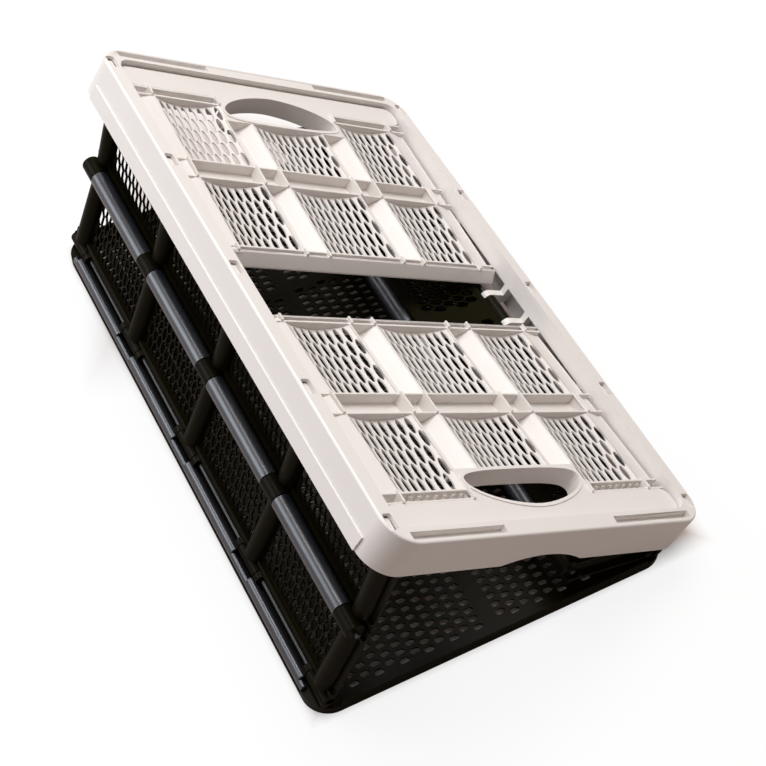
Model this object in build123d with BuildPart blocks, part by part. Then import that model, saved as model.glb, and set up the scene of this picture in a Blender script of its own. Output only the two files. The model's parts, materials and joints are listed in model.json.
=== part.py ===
"""Collapsible harvest basket, standing half folded.

A flat base carries two long walls, each hinged along its middle so that it folds inwards.
A tilted rim frame hangs on the walls' upper pivots, and two end panels are swung up into it.
Units are millimetres, +Z is up, Y runs along the basket and the origin is the middle of the
base's underside. The left wall still stands, the right wall is folded down.
"""

import math
import os

from build123d import *

os.makedirs("parts", exist_ok=True)

# Base tray
BASE_WIDTH = 318.0
BASE_LENGTH = 520.6
BASE_CORNER = 22.0
BASE_BAR_WIDTH = 22.0
BASE_BAR_HEIGHT = 9.0
BASE_LIP = 2.0
BASE_LIP_TOP = 14.0
FLOOR_BOTTOM = 3.0
FLOOR_THICKNESS = 2.5
FLOOR_RIB = 8.0

# Rim frame
RIM_WIDTH = 333.0
RIM_END_OVERHANG = 3.2
RIM_CORNER = 25.0
RIM_SKIN = 3.0
RIM_LONG_BAR = 13.0
RIM_END_BAR = 14.0
OPENING_CORNER = 12.0
RIM_INNER_WALL = 2.5
RIM_INNER_DEPTH = 16.0
SKIRT_WALL = 2.5
SKIRT_DEPTH = 35.0
SKIRT_BAND_DROP = 22.0
SKIRT_BAND_STEP = 1.5
RIM_EDGE_ROUND = 2.0
SCALLOP_WIDTH = 86.0
SCALLOP_RISE = 9.0
NOTCH_LENGTH = 14.0
NOTCH_WIDTH = 8.0
END_SLOT_LENGTH = 88.0
END_SLOT_WIDTH = 5.0
END_SLOT_DEPTH = 1.8
END_SLOT_OFFSET = 104.0

# Long walls
WALL_CLEARANCE = 0.8
WALL_INNER = 3.5
WALL_OUTER = 8.0
WALL_SKIN = 2.5
POST_WIDTH = 28.0
POST_PITCH = 121.0
POST_WALL = 3.0
RAIL_WIDTH = 8.0
RAIL_OUTER = 4.0
FOLD_CLEARANCE = 0.8
SIDE_CLEARANCE = 0.4
MID_BARREL_RADIUS = 8.0

# Pivots
BASE_PIVOT_INSET = 13.0
BASE_PIVOT_HEIGHT = 16.0
RIM_PIVOT_INSET = 27.0
RIM_PIVOT_DEPTH = 30.0
MID_PIVOT_OFFSET = 9.0
LOWER_HALF = 89.5
KNUCKLE_RADIUS = 6.0
EAR_WIDTH = 6.0
ROD_RADIUS = 2.0
RUNNING_CLEARANCE = 0.05
HOOK_CLEARANCE = 0.4
HOOK_FLARE = 0.28

# End panels
PANEL_WIDTH = 303.0
PANEL_PIVOT_INSET = 25.5
PANEL_PIVOT_DEPTH = 13.5
PANEL_REACH = 209.0
PANEL_HEEL = 10.0
PANEL_CORNER = 10.0
PANEL_TOP = 8.0
PANEL_DEPTH = 11.5
PANEL_SKIN = 2.5
PANEL_WALL = 2.0
COLUMN_OFFSET = 52.25
COLUMN_WIDTH = 25.5
SIDE_WINDOW_EDGE = 131.0
SIDE_WING = 15.0
STRIP_WIDTH = 23.0
STRIP_CHANNEL = 11.0
MID_CHANNEL = 22.0
FREE_CHANNEL = 13.0
HAND_WIDTH = 122.0
HAND_LOW = 5.0
HAND_HEIGHT = 35.0
HAND_SIDE = 7.0
HAND_COLLAR = 3.0
HAND_CORNER = 4.0
PIN_RADIUS = 3.0
PIN_LENGTH = 18.0
PIN_BOSS_RADIUS = 6.0
PIN_BOSS_LENGTH = 12.5
PIN_BOSS_GAP = 0.5

# Lozenge slots
LOZENGE_WEB = 2.6
SLOT_MARGIN = 3.0
FLOOR_CELLS = 4
FLOOR_COLUMNS = 4
FLOOR_ROWS = 4
WALL_COLUMNS = 6
WALL_ROWS = 4
PANEL_COLUMNS = 6
PANEL_ROWS = 6
HAND_ROWS = 4

# Resting pose: lean of the standing wall's halves, tilt of the rim, droop of the panels
LEFT_LOWER_LEAN = 20.0
LEFT_UPPER_LEAN = 15.0
RIM_TILT = 31.3
PANEL_DROOP = 2.4

ALONG = Vector(0, 1, 0)
OVERLAP = 1.0
SIDES = (-1, 1)
LEFT = -1

base_pivot_x = BASE_WIDTH / 2 - BASE_PIVOT_INSET
rim_pivot_x = RIM_WIDTH / 2 - RIM_PIVOT_INSET
upper_half = LOWER_HALF - (base_pivot_x - rim_pivot_x)
rim_length = BASE_LENGTH + 2 * RIM_END_OVERHANG
wall_length = BASE_LENGTH - 2 * (BASE_LIP + WALL_CLEARANCE)
bore_radius = ROD_RADIUS + RUNNING_CLEARANCE
floor_top = FLOOR_BOTTOM + FLOOR_THICKNESS
outer_post = wall_length / 2 - POST_WIDTH / 2
post_places = (-outer_post, -POST_PITCH, 0.0, POST_PITCH, outer_post)
bays = [
    (low + POST_WIDTH / 2, high - POST_WIDTH / 2)
    for low, high in zip(post_places, post_places[1:])
]
ear_places = [
    place
    for low, high in bays
    for place in (low + SIDE_CLEARANCE + EAR_WIDTH / 2, high - SIDE_CLEARANCE - EAR_WIDTH / 2)
]


def lean_direction(degrees):
    """Direction up a wall half that leans towards +X by this angle."""
    return Vector(math.sin(math.radians(degrees)), 0, math.cos(math.radians(degrees)))


def outward(degrees, side):
    """Outward normal of a wall half on the left (-1) or right (1) side."""
    return Vector(math.cos(math.radians(degrees)), 0, -math.sin(math.radians(degrees))) * side


def lean_of(direction):
    """Lean towards +X of a direction in the XZ plane, in degrees."""
    return math.degrees(math.atan2(direction.X, direction.Z))


# Pivot places of the standing left wall and of the rim that it carries
left_base_pivot = Vector(-base_pivot_x, 0, BASE_PIVOT_HEIGHT)
right_base_pivot = Vector(base_pivot_x, 0, BASE_PIVOT_HEIGHT)
left_mid_pivot = (
    left_base_pivot
    + lean_direction(LEFT_LOWER_LEAN) * LOWER_HALF
    + outward(LEFT_LOWER_LEAN, LEFT) * MID_PIVOT_OFFSET
)
left_rim_pivot = (
    left_mid_pivot
    - outward(LEFT_UPPER_LEAN, LEFT) * MID_PIVOT_OFFSET
    + lean_direction(LEFT_UPPER_LEAN) * upper_half
)
rim_across = outward(RIM_TILT, 1)
rim_normal = lean_direction(RIM_TILT)
rim_centre = left_rim_pivot + rim_across * rim_pivot_x + rim_normal * RIM_PIVOT_DEPTH
right_rim_pivot = left_rim_pivot + rim_across * (2 * rim_pivot_x)

# The folded right wall closes the loop: its middle pivot is where its two halves' reaches meet
lower_reach = math.hypot(LOWER_HALF, MID_PIVOT_OFFSET)
upper_reach = math.hypot(upper_half, MID_PIVOT_OFFSET)
right_span = right_rim_pivot - right_base_pivot
span_length = right_span.length
closing_angle = math.degrees(
    math.acos(
        (lower_reach**2 + span_length**2 - upper_reach**2) / (2 * lower_reach * span_length)
    )
)
right_reach_lean = lean_of(right_span) - closing_angle
right_mid_pivot = right_base_pivot + lean_direction(right_reach_lean) * lower_reach
right_lower_lean = right_reach_lean - math.degrees(math.atan2(MID_PIVOT_OFFSET, LOWER_HALF))
right_upper_lean = lean_of(right_rim_pivot - right_mid_pivot) + math.degrees(
    math.atan2(MID_PIVOT_OFFSET, upper_half)
)

rim_plane = Plane(origin=rim_centre, x_dir=rim_across, z_dir=rim_normal)
rim_normal_axis = Axis(rim_centre, rim_normal)


def lozenge_field(centre, size, columns, rows):
    """Add a staggered field of lozenges to the sketch, inside a window of this size."""
    pitch_x = size[0] / columns
    pitch_y = size[1] / rows
    half_x = (pitch_x - LOZENGE_WEB) / 2
    half_y = pitch_y - LOZENGE_WEB
    corners = ((-half_x, 0), (0, -half_y), (half_x, 0), (0, half_y))
    with Locations(centre):
        with GridLocations(pitch_x, 2 * pitch_y, columns, rows // 2):
            Polygon(*corners)
        with GridLocations(pitch_x, 2 * pitch_y, columns - 1, rows // 2 - 1):
            Polygon(*corners)


def finish(part, label):
    """Label a finished piece and write it as its own STEP file."""
    part.label = label
    export_step(part, f"parts/{label}.step")


# Base tray: floor with lozenge slots, edge bars, a thin lip and the ears of the wall pivots
inner_width = BASE_WIDTH - 2 * BASE_BAR_WIDTH
inner_length = BASE_LENGTH - 2 * BASE_BAR_WIDTH
cell_length = inner_length / FLOOR_CELLS
with BuildPart() as base_tray:
    with BuildSketch(Plane.XY):
        RectangleRounded(BASE_WIDTH, BASE_LENGTH, BASE_CORNER)
        Rectangle(inner_width, inner_length, mode=Mode.SUBTRACT)
    extrude(amount=BASE_BAR_HEIGHT)
    with BuildSketch(Plane.XY.offset(BASE_BAR_HEIGHT)):
        with GridLocations(BASE_WIDTH - BASE_LIP, 0, 2, 1):
            Rectangle(BASE_LIP, BASE_LENGTH - 2 * BASE_CORNER)
        with GridLocations(0, BASE_LENGTH - BASE_LIP, 1, 2):
            Rectangle(inner_width, BASE_LIP)
    extrude(amount=BASE_LIP_TOP - BASE_BAR_HEIGHT)
    with BuildSketch(Plane.XY.offset(FLOOR_BOTTOM)):
        Rectangle(inner_width + OVERLAP, inner_length + OVERLAP)
    extrude(amount=FLOOR_THICKNESS)
    with BuildSketch(Plane.XY):
        Rectangle(FLOOR_RIB, inner_length + OVERLAP)
        with GridLocations(0, cell_length, 1, FLOOR_CELLS - 1):
            Rectangle(inner_width + OVERLAP, FLOOR_RIB)
    extrude(amount=floor_top)
    with BuildSketch(Plane.XY.offset(floor_top)):
        with GridLocations(inner_width / 2, cell_length, 2, FLOOR_CELLS):
            lozenge_field(
                (0, 0),
                (inner_width / 2 - FLOOR_RIB - 2 * SLOT_MARGIN, cell_length - FLOOR_RIB - 2 * SLOT_MARGIN),
                FLOOR_COLUMNS,
                FLOOR_ROWS,
            )
    extrude(amount=-FLOOR_THICKNESS, mode=Mode.SUBTRACT)
    for side, pivot in ((-1, left_base_pivot), (1, right_base_pivot)):
        for place in ear_places:
            ear_plane = Plane(
                origin=pivot + ALONG * place, x_dir=(-side, 0, 0), z_dir=(0, side, 0)
            )
            with BuildSketch(ear_plane):
                Circle(KNUCKLE_RADIUS)
                with Locations((0, -BASE_PIVOT_HEIGHT / 2 + FLOOR_BOTTOM / 2)):
                    Rectangle(2 * KNUCKLE_RADIUS, BASE_PIVOT_HEIGHT - FLOOR_BOTTOM)
                Circle(bore_radius, mode=Mode.SUBTRACT)
            extrude(amount=EAR_WIDTH / 2, both=True)
    lower_edges = base_tray.faces().sort_by(Axis.Z)[0].outer_wire().edges()
    fillet(lower_edges, BASE_BAR_HEIGHT / 3)
finish(base_tray.part, "base_tray")


def build_wall_half(length, knuckles_at_posts):
    """Build one half of a long wall in its own frame and return it.

    X runs along the basket, Y runs from the outer pivot to the middle pivot and Z points out of
    the basket. One half carries the middle pivot's knuckles at its posts and the other carries
    the barrels between them.
    """
    plane = Plane.XY
    start = KNUCKLE_RADIUS + FOLD_CLEARANCE / 2
    barrel_room = MID_BARREL_RADIUS + FOLD_CLEARANCE
    post_end = length if knuckles_at_posts else length - barrel_room
    rail_end = length - barrel_room
    window_low = start + RAIL_WIDTH + SLOT_MARGIN
    window_high = rail_end - RAIL_WIDTH - SLOT_MARGIN
    inner = plane.offset(-WALL_INNER)
    with BuildPart() as wall:
        with BuildSketch(inner):
            with Locations((0, (start + length - SIDE_CLEARANCE) / 2)):
                Rectangle(wall_length, length - SIDE_CLEARANCE - start)
        extrude(amount=WALL_SKIN)
        with BuildSketch(inner):
            for place in post_places:
                with Locations((place, (start + post_end) / 2)):
                    Rectangle(POST_WIDTH, post_end - start)
        extrude(amount=WALL_INNER + WALL_OUTER)
        with BuildSketch(inner):
            with Locations((0, start + RAIL_WIDTH / 2), (0, rail_end - RAIL_WIDTH / 2)):
                Rectangle(wall_length, RAIL_WIDTH)
        extrude(amount=WALL_INNER + RAIL_OUTER)
        with BuildSketch(inner):
            for place in post_places:
                with Locations((place, (start + rail_end) / 2)):
                    Rectangle(POST_WIDTH - 2 * POST_WALL, rail_end - start - 2 * POST_WALL)
        extrude(amount=WALL_INNER + WALL_OUTER - POST_WALL, mode=Mode.SUBTRACT)
        with BuildSketch(plane.offset(WALL_SKIN - WALL_INNER)):
            for low, high in bays:
                lozenge_field(
                    ((low + high) / 2, (window_low + window_high) / 2),
                    (high - low - 2 * SLOT_MARGIN, window_high - window_low),
                    WALL_COLUMNS,
                    WALL_ROWS,
                )
        extrude(amount=-WALL_SKIN, mode=Mode.SUBTRACT)
        for place in post_places:
            knuckle_plane = Plane(
                origin=plane.from_local_coords((place, 0, 0)), x_dir=plane.y_dir, z_dir=plane.x_dir
            )
            with BuildSketch(knuckle_plane):
                Circle(KNUCKLE_RADIUS)
                with Locations((start / 2 + OVERLAP / 2, 0)):
                    Rectangle(start + OVERLAP, 2 * WALL_INNER)
                Circle(bore_radius, mode=Mode.SUBTRACT)
            extrude(amount=POST_WIDTH / 2, both=True)
        if knuckles_at_posts:
            spans = [(place, POST_WIDTH) for place in post_places]
        else:
            spans = [((low + high) / 2, high - low - 2 * SIDE_CLEARANCE) for low, high in bays]
        for place, span in spans:
            barrel_plane = Plane(
                origin=plane.from_local_coords((place, length, 0)),
                x_dir=plane.y_dir,
                z_dir=plane.x_dir,
            )
            with BuildSketch(barrel_plane):
                with Locations((-barrel_room / 2, (WALL_OUTER - WALL_INNER) / 2)):
                    Rectangle(barrel_room + OVERLAP, WALL_OUTER + WALL_INNER)
                with Locations((OVERLAP / 2 - SIDE_CLEARANCE / 2, WALL_OUTER / 2)):
                    Rectangle(OVERLAP + SIDE_CLEARANCE, 2 * WALL_OUTER, mode=Mode.SUBTRACT)
                with Locations((0, MID_PIVOT_OFFSET)):
                    Circle(MID_BARREL_RADIUS)
            extrude(amount=span / 2, both=True)
        with BuildSketch(Plane.YZ):
            with Locations((length, MID_PIVOT_OFFSET)):
                Circle(bore_radius)
        extrude(amount=wall_length, both=True, mode=Mode.SUBTRACT)
    return wall.part


left_lower_plane = Plane(
    origin=left_base_pivot, x_dir=(0, -1, 0), z_dir=outward(LEFT_LOWER_LEAN, LEFT)
)
left_upper_plane = Plane(
    origin=left_rim_pivot, x_dir=(0, 1, 0), z_dir=outward(LEFT_UPPER_LEAN, LEFT)
)
right_lower_plane = Plane(
    origin=right_base_pivot, x_dir=(0, 1, 0), z_dir=outward(right_lower_lean, 1)
)
right_upper_plane = Plane(
    origin=right_rim_pivot, x_dir=(0, -1, 0), z_dir=outward(right_upper_lean, 1)
)
lower_wall = build_wall_half(LOWER_HALF, True)
upper_wall = build_wall_half(upper_half, False)
wall_halves = {
    "left_lower_wall": (lower_wall, left_lower_plane),
    "left_upper_wall": (upper_wall, left_upper_plane),
    "right_lower_wall": (lower_wall, right_lower_plane),
    "right_upper_wall": (upper_wall, right_upper_plane),
}
for wall_name, (half, half_plane) in wall_halves.items():
    with BuildPart() as placed_wall:
        add(half.moved(half_plane.location))
    finish(placed_wall.part, wall_name)

# Rim frame: hollow bars, deep skirts, notches over the posts, wall pivot ears and pin bosses
opening_width = RIM_WIDTH - 2 * RIM_LONG_BAR
opening_length = rim_length - 2 * RIM_END_BAR
bar_middle_x = RIM_WIDTH / 2 - RIM_LONG_BAR / 2
panel_pivot_y = rim_length / 2 - PANEL_PIVOT_INSET
boss_start = PANEL_WIDTH / 2 + PIN_BOSS_GAP
ear_skirt = RIM_PIVOT_INSET - SKIRT_WALL / 2
ear_inner_wall = RIM_PIVOT_INSET - RIM_LONG_BAR
ear_top = RIM_PIVOT_DEPTH - RIM_INNER_DEPTH + OVERLAP
hook_half = ROD_RADIUS + HOOK_CLEARANCE
hook_depth = KNUCKLE_RADIUS + OVERLAP
scallop_radius = (SCALLOP_WIDTH**2 / 4 + SCALLOP_RISE**2) / (2 * SCALLOP_RISE)
with BuildPart() as rim_frame:
    with BuildSketch(rim_plane):
        RectangleRounded(RIM_WIDTH, rim_length, RIM_CORNER)
    extrude(amount=-SKIRT_DEPTH)
    fillet(rim_frame.faces().sort_by(rim_normal_axis)[-1].edges(), RIM_EDGE_ROUND)
    with BuildSketch(rim_plane.offset(-RIM_SKIN)):
        RectangleRounded(
            RIM_WIDTH - 2 * SKIRT_WALL, rim_length - 2 * SKIRT_WALL, RIM_CORNER - SKIRT_WALL
        )
    extrude(amount=-SKIRT_DEPTH, mode=Mode.SUBTRACT)
    with BuildSketch(rim_plane.offset(-RIM_SKIN)):
        RectangleRounded(
            opening_width + 2 * RIM_INNER_WALL,
            opening_length + 2 * RIM_INNER_WALL,
            OPENING_CORNER + RIM_INNER_WALL,
        )
    extrude(amount=RIM_SKIN - RIM_INNER_DEPTH)
    with BuildSketch(rim_plane):
        RectangleRounded(opening_width, opening_length, OPENING_CORNER)
    extrude(amount=-SKIRT_DEPTH, mode=Mode.SUBTRACT)
    with BuildSketch(rim_plane.offset(-SKIRT_DEPTH)):
        with GridLocations(RIM_WIDTH - SKIRT_WALL + SKIRT_BAND_STEP, 0, 2, 1):
            Rectangle(SKIRT_WALL + SKIRT_BAND_STEP, rim_length - 2 * RIM_CORNER)
    extrude(amount=SKIRT_DEPTH - SKIRT_BAND_DROP)
    end_plane = Plane(
        origin=rim_centre - rim_normal * SKIRT_DEPTH, x_dir=rim_across, z_dir=-ALONG
    )
    with BuildSketch(end_plane):
        with Locations((0, SCALLOP_RISE - scallop_radius)):
            Circle(scallop_radius)
    extrude(amount=rim_length, both=True, mode=Mode.SUBTRACT)
    with BuildSketch(rim_plane):
        with GridLocations(2 * END_SLOT_OFFSET, rim_length - RIM_END_BAR, 2, 2):
            SlotOverall(END_SLOT_LENGTH, END_SLOT_WIDTH)
    extrude(amount=-END_SLOT_DEPTH, mode=Mode.SUBTRACT)
    with BuildSketch(rim_plane):
        for place in post_places:
            with Locations((-bar_middle_x, place), (bar_middle_x, place)):
                RectangleRounded(NOTCH_WIDTH, NOTCH_LENGTH, NOTCH_WIDTH / 4)
    extrude(amount=-RIM_SKIN, mode=Mode.SUBTRACT)
    for side, pivot in ((-1, left_rim_pivot), (1, right_rim_pivot)):
        for place in ear_places:
            ear_plane = Plane(
                origin=pivot + ALONG * place, x_dir=rim_across * -side, z_dir=ALONG * side
            )
            with BuildSketch(ear_plane):
                Circle(KNUCKLE_RADIUS)
                Polygon(
                    (0, KNUCKLE_RADIUS),
                    (-ear_inner_wall, KNUCKLE_RADIUS),
                    (-ear_inner_wall, ear_top),
                    (-ear_skirt, ear_top),
                    (-ear_skirt, 0),
                    (0, -KNUCKLE_RADIUS),
                    align=None,
                )
                if side == LEFT:
                    Circle(bore_radius, mode=Mode.SUBTRACT)
                else:
                    Circle(hook_half, mode=Mode.SUBTRACT)
                    Polygon(
                        (hook_half, 0),
                        (-hook_half, 0),
                        (-hook_half - HOOK_FLARE * hook_depth, -hook_depth),
                        (hook_half, -hook_depth),
                        align=None,
                        mode=Mode.SUBTRACT,
                    )
            extrude(amount=EAR_WIDTH / 2, both=True)
        for end in SIDES:
            boss_plane = Plane(
                origin=rim_plane.from_local_coords(
                    (side * boss_start, end * panel_pivot_y, -PANEL_PIVOT_DEPTH)
                ),
                x_dir=ALONG,
                z_dir=rim_across * side,
            )
            with BuildSketch(boss_plane):
                Circle(PIN_BOSS_RADIUS)
            extrude(amount=PIN_BOSS_LENGTH)
            with BuildSketch(boss_plane):
                Circle(PIN_RADIUS + RUNNING_CLEARANCE)
            extrude(amount=PIN_BOSS_LENGTH, mode=Mode.SUBTRACT)
finish(rim_frame.part, "rim_frame")

# End panels: strip with a hand hole, boxes with slotted tops and open channels between them
strip_edge = STRIP_WIDTH - PANEL_HEEL
mid_centre = (strip_edge + STRIP_CHANNEL + PANEL_REACH - FREE_CHANNEL) / 2
window_rows = (
    (strip_edge + STRIP_CHANNEL, mid_centre - MID_CHANNEL / 2),
    (mid_centre + MID_CHANNEL / 2, PANEL_REACH - FREE_CHANNEL),
)
channels = (
    (strip_edge, window_rows[0][0]),
    (window_rows[0][1], window_rows[1][0]),
    (window_rows[1][1], PANEL_REACH),
)
column_inner = COLUMN_OFFSET - COLUMN_WIDTH / 2
column_outer = COLUMN_OFFSET + COLUMN_WIDTH / 2
wing_edge = SIDE_WINDOW_EDGE + SIDE_WING
window_columns = (
    (-SIDE_WINDOW_EDGE, -column_outer),
    (-column_inner, column_inner),
    (column_outer, SIDE_WINDOW_EDGE),
)
gaps_between = (
    (-wing_edge - PANEL_WALL, -SIDE_WINDOW_EDGE),
    (-column_outer, -column_inner),
    (column_inner, column_outer),
    (SIDE_WINDOW_EDGE, wing_edge + PANEL_WALL),
)
pocket_depth = PANEL_DEPTH - PANEL_WALL
box_depth = PANEL_DEPTH - PANEL_SKIN
hand_high = HAND_LOW + HAND_HEIGHT
hand_shoulder = hand_high - HAND_SIDE
hand_window = (hand_high + HAND_COLLAR, window_rows[0][1])


def rectangle_between(x_span, y_span, margin=0.0):
    """Add a rectangle to the sketch between these limits, drawn in by a margin."""
    with Locations(((x_span[0] + x_span[1]) / 2, (y_span[0] + y_span[1]) / 2)):
        Rectangle(x_span[1] - x_span[0] - 2 * margin, y_span[1] - y_span[0] - 2 * margin)


def hand_outline(grow):
    """Add the D-shaped hand hole to the sketch, grown outwards by this much."""
    half = HAND_WIDTH / 2
    with BuildLine(Plane.XY) as outline:
        Line((half, hand_shoulder), (half - HAND_SIDE, hand_high))
        Line((half - HAND_SIDE, hand_high), (HAND_SIDE - half, hand_high))
        Line((HAND_SIDE - half, hand_high), (-half, hand_shoulder))
        ThreePointArc((-half, hand_shoulder), (0, HAND_LOW), (half, hand_shoulder))
    face = make_face(outline.edges())
    fillet(face.vertices(), HAND_CORNER)
    if grow:
        offset(amount=grow, kind=Kind.ARC)


def build_panel(name, end):
    """Build one end panel and its two pivot pins, at the near (-1) or far (1) end."""
    droop = math.radians(PANEL_DROOP)
    towards_middle = ALONG * (-end * math.cos(droop)) - rim_normal * math.sin(droop)
    across = rim_across * -end
    pivot = rim_plane.from_local_coords((0, end * panel_pivot_y, -PANEL_PIVOT_DEPTH))
    plane = Plane(origin=pivot, x_dir=across, z_dir=across.cross(towards_middle))
    top = plane.offset(PANEL_TOP)
    with BuildPart() as panel:
        with BuildSketch(top) as strip:
            rectangle_between((-PANEL_WIDTH / 2, PANEL_WIDTH / 2), (-PANEL_HEEL, strip_edge))
            fillet(strip.vertices(), PANEL_CORNER)
        extrude(amount=-PANEL_SKIN)
        with BuildSketch(top):
            rectangle_between((-wing_edge, wing_edge), (strip_edge - PANEL_WALL, PANEL_REACH))
        extrude(amount=-PANEL_DEPTH)
        with BuildSketch(top):
            for span in (*window_columns, *gaps_between):
                for rows in channels:
                    rectangle_between(span, rows, PANEL_WALL / 2)
            for span in gaps_between:
                for rows in window_rows:
                    rectangle_between(span, rows, PANEL_WALL / 2)
        extrude(amount=-pocket_depth, mode=Mode.SUBTRACT)
        with BuildSketch(top.offset(-PANEL_SKIN)):
            for span in window_columns:
                for rows in window_rows:
                    rectangle_between(span, rows, PANEL_WALL / 2)
        extrude(amount=-box_depth, mode=Mode.SUBTRACT)
        with BuildSketch(top):
            hand_outline(HAND_COLLAR)
        extrude(amount=-PANEL_DEPTH)
        with BuildSketch(top):
            hand_outline(0)
        extrude(amount=-PANEL_DEPTH, mode=Mode.SUBTRACT)
        with BuildSketch(top):
            for column, span in enumerate(window_columns):
                for row, rows in enumerate(window_rows):
                    by_hand = column == 1 and row == 0
                    low, high = hand_window if by_hand else rows
                    lozenge_field(
                        ((span[0] + span[1]) / 2, (low + high) / 2),
                        (span[1] - span[0] - 2 * SLOT_MARGIN, high - low - 2 * SLOT_MARGIN),
                        PANEL_COLUMNS,
                        HAND_ROWS if by_hand else PANEL_ROWS,
                    )
        extrude(amount=-PANEL_SKIN, mode=Mode.SUBTRACT)
        for side in SIDES:
            boss_plane = Plane(
                origin=plane.from_local_coords((side * PANEL_WIDTH / 2, 0, 0)),
                x_dir=plane.y_dir,
                z_dir=across * side,
            )
            with BuildSketch(boss_plane):
                Circle(PIN_BOSS_RADIUS)
                with Locations((0, PANEL_TOP / 2 * side)):
                    Rectangle(2 * PIN_BOSS_RADIUS, PANEL_TOP)
            extrude(amount=-PIN_BOSS_LENGTH)
            with BuildSketch(boss_plane):
                Circle(PIN_RADIUS + RUNNING_CLEARANCE)
            extrude(amount=-PIN_BOSS_LENGTH, mode=Mode.SUBTRACT)
    finish(panel.part, f"{name}_end_panel")
    for side, hand in zip(SIDES, ("left", "right")):
        pin_plane = Plane(
            origin=rim_plane.from_local_coords(
                (
                    side * (boss_start + PIN_BOSS_LENGTH / 2 - PIN_LENGTH),
                    end * panel_pivot_y,
                    -PANEL_PIVOT_DEPTH,
                )
            ),
            x_dir=ALONG,
            z_dir=rim_across * side,
        )
        with BuildPart() as pin:
            with BuildSketch(pin_plane):
                Circle(PIN_RADIUS)
            extrude(amount=PIN_LENGTH)
        finish(pin.part, f"{name}_panel_{hand}_pin")


build_panel("front", -1)
build_panel("rear", 1)

# Hinge rods along the six wall pivots
rods = {
    "left_base_rod": left_base_pivot,
    "left_middle_rod": left_mid_pivot,
    "left_rim_rod": left_rim_pivot,
    "right_base_rod": right_base_pivot,
    "right_middle_rod": right_mid_pivot,
    "right_rim_rod": right_rim_pivot,
}
for rod_name, rod_pivot in rods.items():
    with BuildPart() as rod:
        with BuildSketch(Plane(origin=rod_pivot, x_dir=(1, 0, 0), z_dir=ALONG)):
            Circle(ROD_RADIUS)
        extrude(amount=wall_length / 2, both=True)
    finish(rod.part, rod_name)

print("left middle pivot", left_mid_pivot, "left rim pivot", left_rim_pivot)
print("right middle pivot", right_mid_pivot, "right rim pivot", right_rim_pivot)
print("right wall leans", right_lower_lean, right_upper_lean, "rim centre", rim_centre)
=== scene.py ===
"""Looks of a collapsible harvest basket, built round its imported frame.

Sizes are millimetres in each piece's own frame. A placement turns them into metres in the
part's frame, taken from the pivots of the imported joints. Finishes and the stage are in metres.
"""

import json
import logging
import math
from contextlib import contextmanager
from dataclasses import dataclass
from enum import Enum
from typing import Any, Callable, Iterator, Optional, Sequence

import bmesh
import bpy
import numpy as np
from mathutils import Matrix, Vector


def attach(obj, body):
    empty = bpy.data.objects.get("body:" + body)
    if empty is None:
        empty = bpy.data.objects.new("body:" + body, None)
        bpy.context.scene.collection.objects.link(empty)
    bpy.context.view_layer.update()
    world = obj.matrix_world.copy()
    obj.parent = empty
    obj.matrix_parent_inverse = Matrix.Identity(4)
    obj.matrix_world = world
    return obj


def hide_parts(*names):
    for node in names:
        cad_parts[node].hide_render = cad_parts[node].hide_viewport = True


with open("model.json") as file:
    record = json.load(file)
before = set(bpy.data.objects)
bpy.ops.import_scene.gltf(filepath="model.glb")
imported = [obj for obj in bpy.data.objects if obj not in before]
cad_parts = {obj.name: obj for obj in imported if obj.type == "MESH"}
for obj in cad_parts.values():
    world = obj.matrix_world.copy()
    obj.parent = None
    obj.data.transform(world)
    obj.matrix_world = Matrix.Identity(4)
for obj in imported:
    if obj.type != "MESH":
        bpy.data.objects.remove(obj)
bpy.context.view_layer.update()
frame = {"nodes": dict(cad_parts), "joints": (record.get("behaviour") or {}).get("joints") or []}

LOG = logging.getLogger("basket")
MM = 0.001
FLAT_ANGLE = math.radians(1)

Span = tuple[float, float]
Triple = tuple[float, float, float]
PlacedMesh = tuple[bpy.types.Mesh, Matrix]


class Slot(Enum):
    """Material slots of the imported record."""

    IVORY = "ivory_plastic"
    BLACK = "black_plastic"


class Side(Enum):
    """Left and right long sides, by the sign of X."""

    LEFT = -1
    RIGHT = 1


class End(Enum):
    """Front and rear ends, by the sign of Y."""

    FRONT = -1
    REAR = 1


class Lay(Enum):
    """How a prism lies: the axes of its outline's two coordinates, then that of its length."""

    UPRIGHT = "XYZ"
    ALONG_X = "YZX"
    ALONG_Y = "XZY"


class Carving(Enum):
    """Ways of working one closed mesh with another."""

    JOIN = "UNION"
    CUT = "DIFFERENCE"
    KEEP = "INTERSECT"


def linked(name: str, data: Any) -> bpy.types.Object:
    """Make an object and put it in the scene.

    Args:
        name: The object's name.
        data: Its mesh, lamp or camera.

    Returns:
        The new object.
    """
    made = bpy.data.objects.new(name, data)
    bpy.context.scene.collection.objects.link(made)
    return made


@contextmanager
def edited(mesh: bpy.types.Mesh) -> Iterator[bmesh.types.BMesh]:
    """Open a mesh for editing and write it back at the end.

    Args:
        mesh: The mesh, changed in place.

    Yields:
        Its editable form.
    """
    shape = bmesh.new()
    shape.from_mesh(mesh)
    yield shape
    shape.to_mesh(mesh)
    shape.free()


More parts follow.
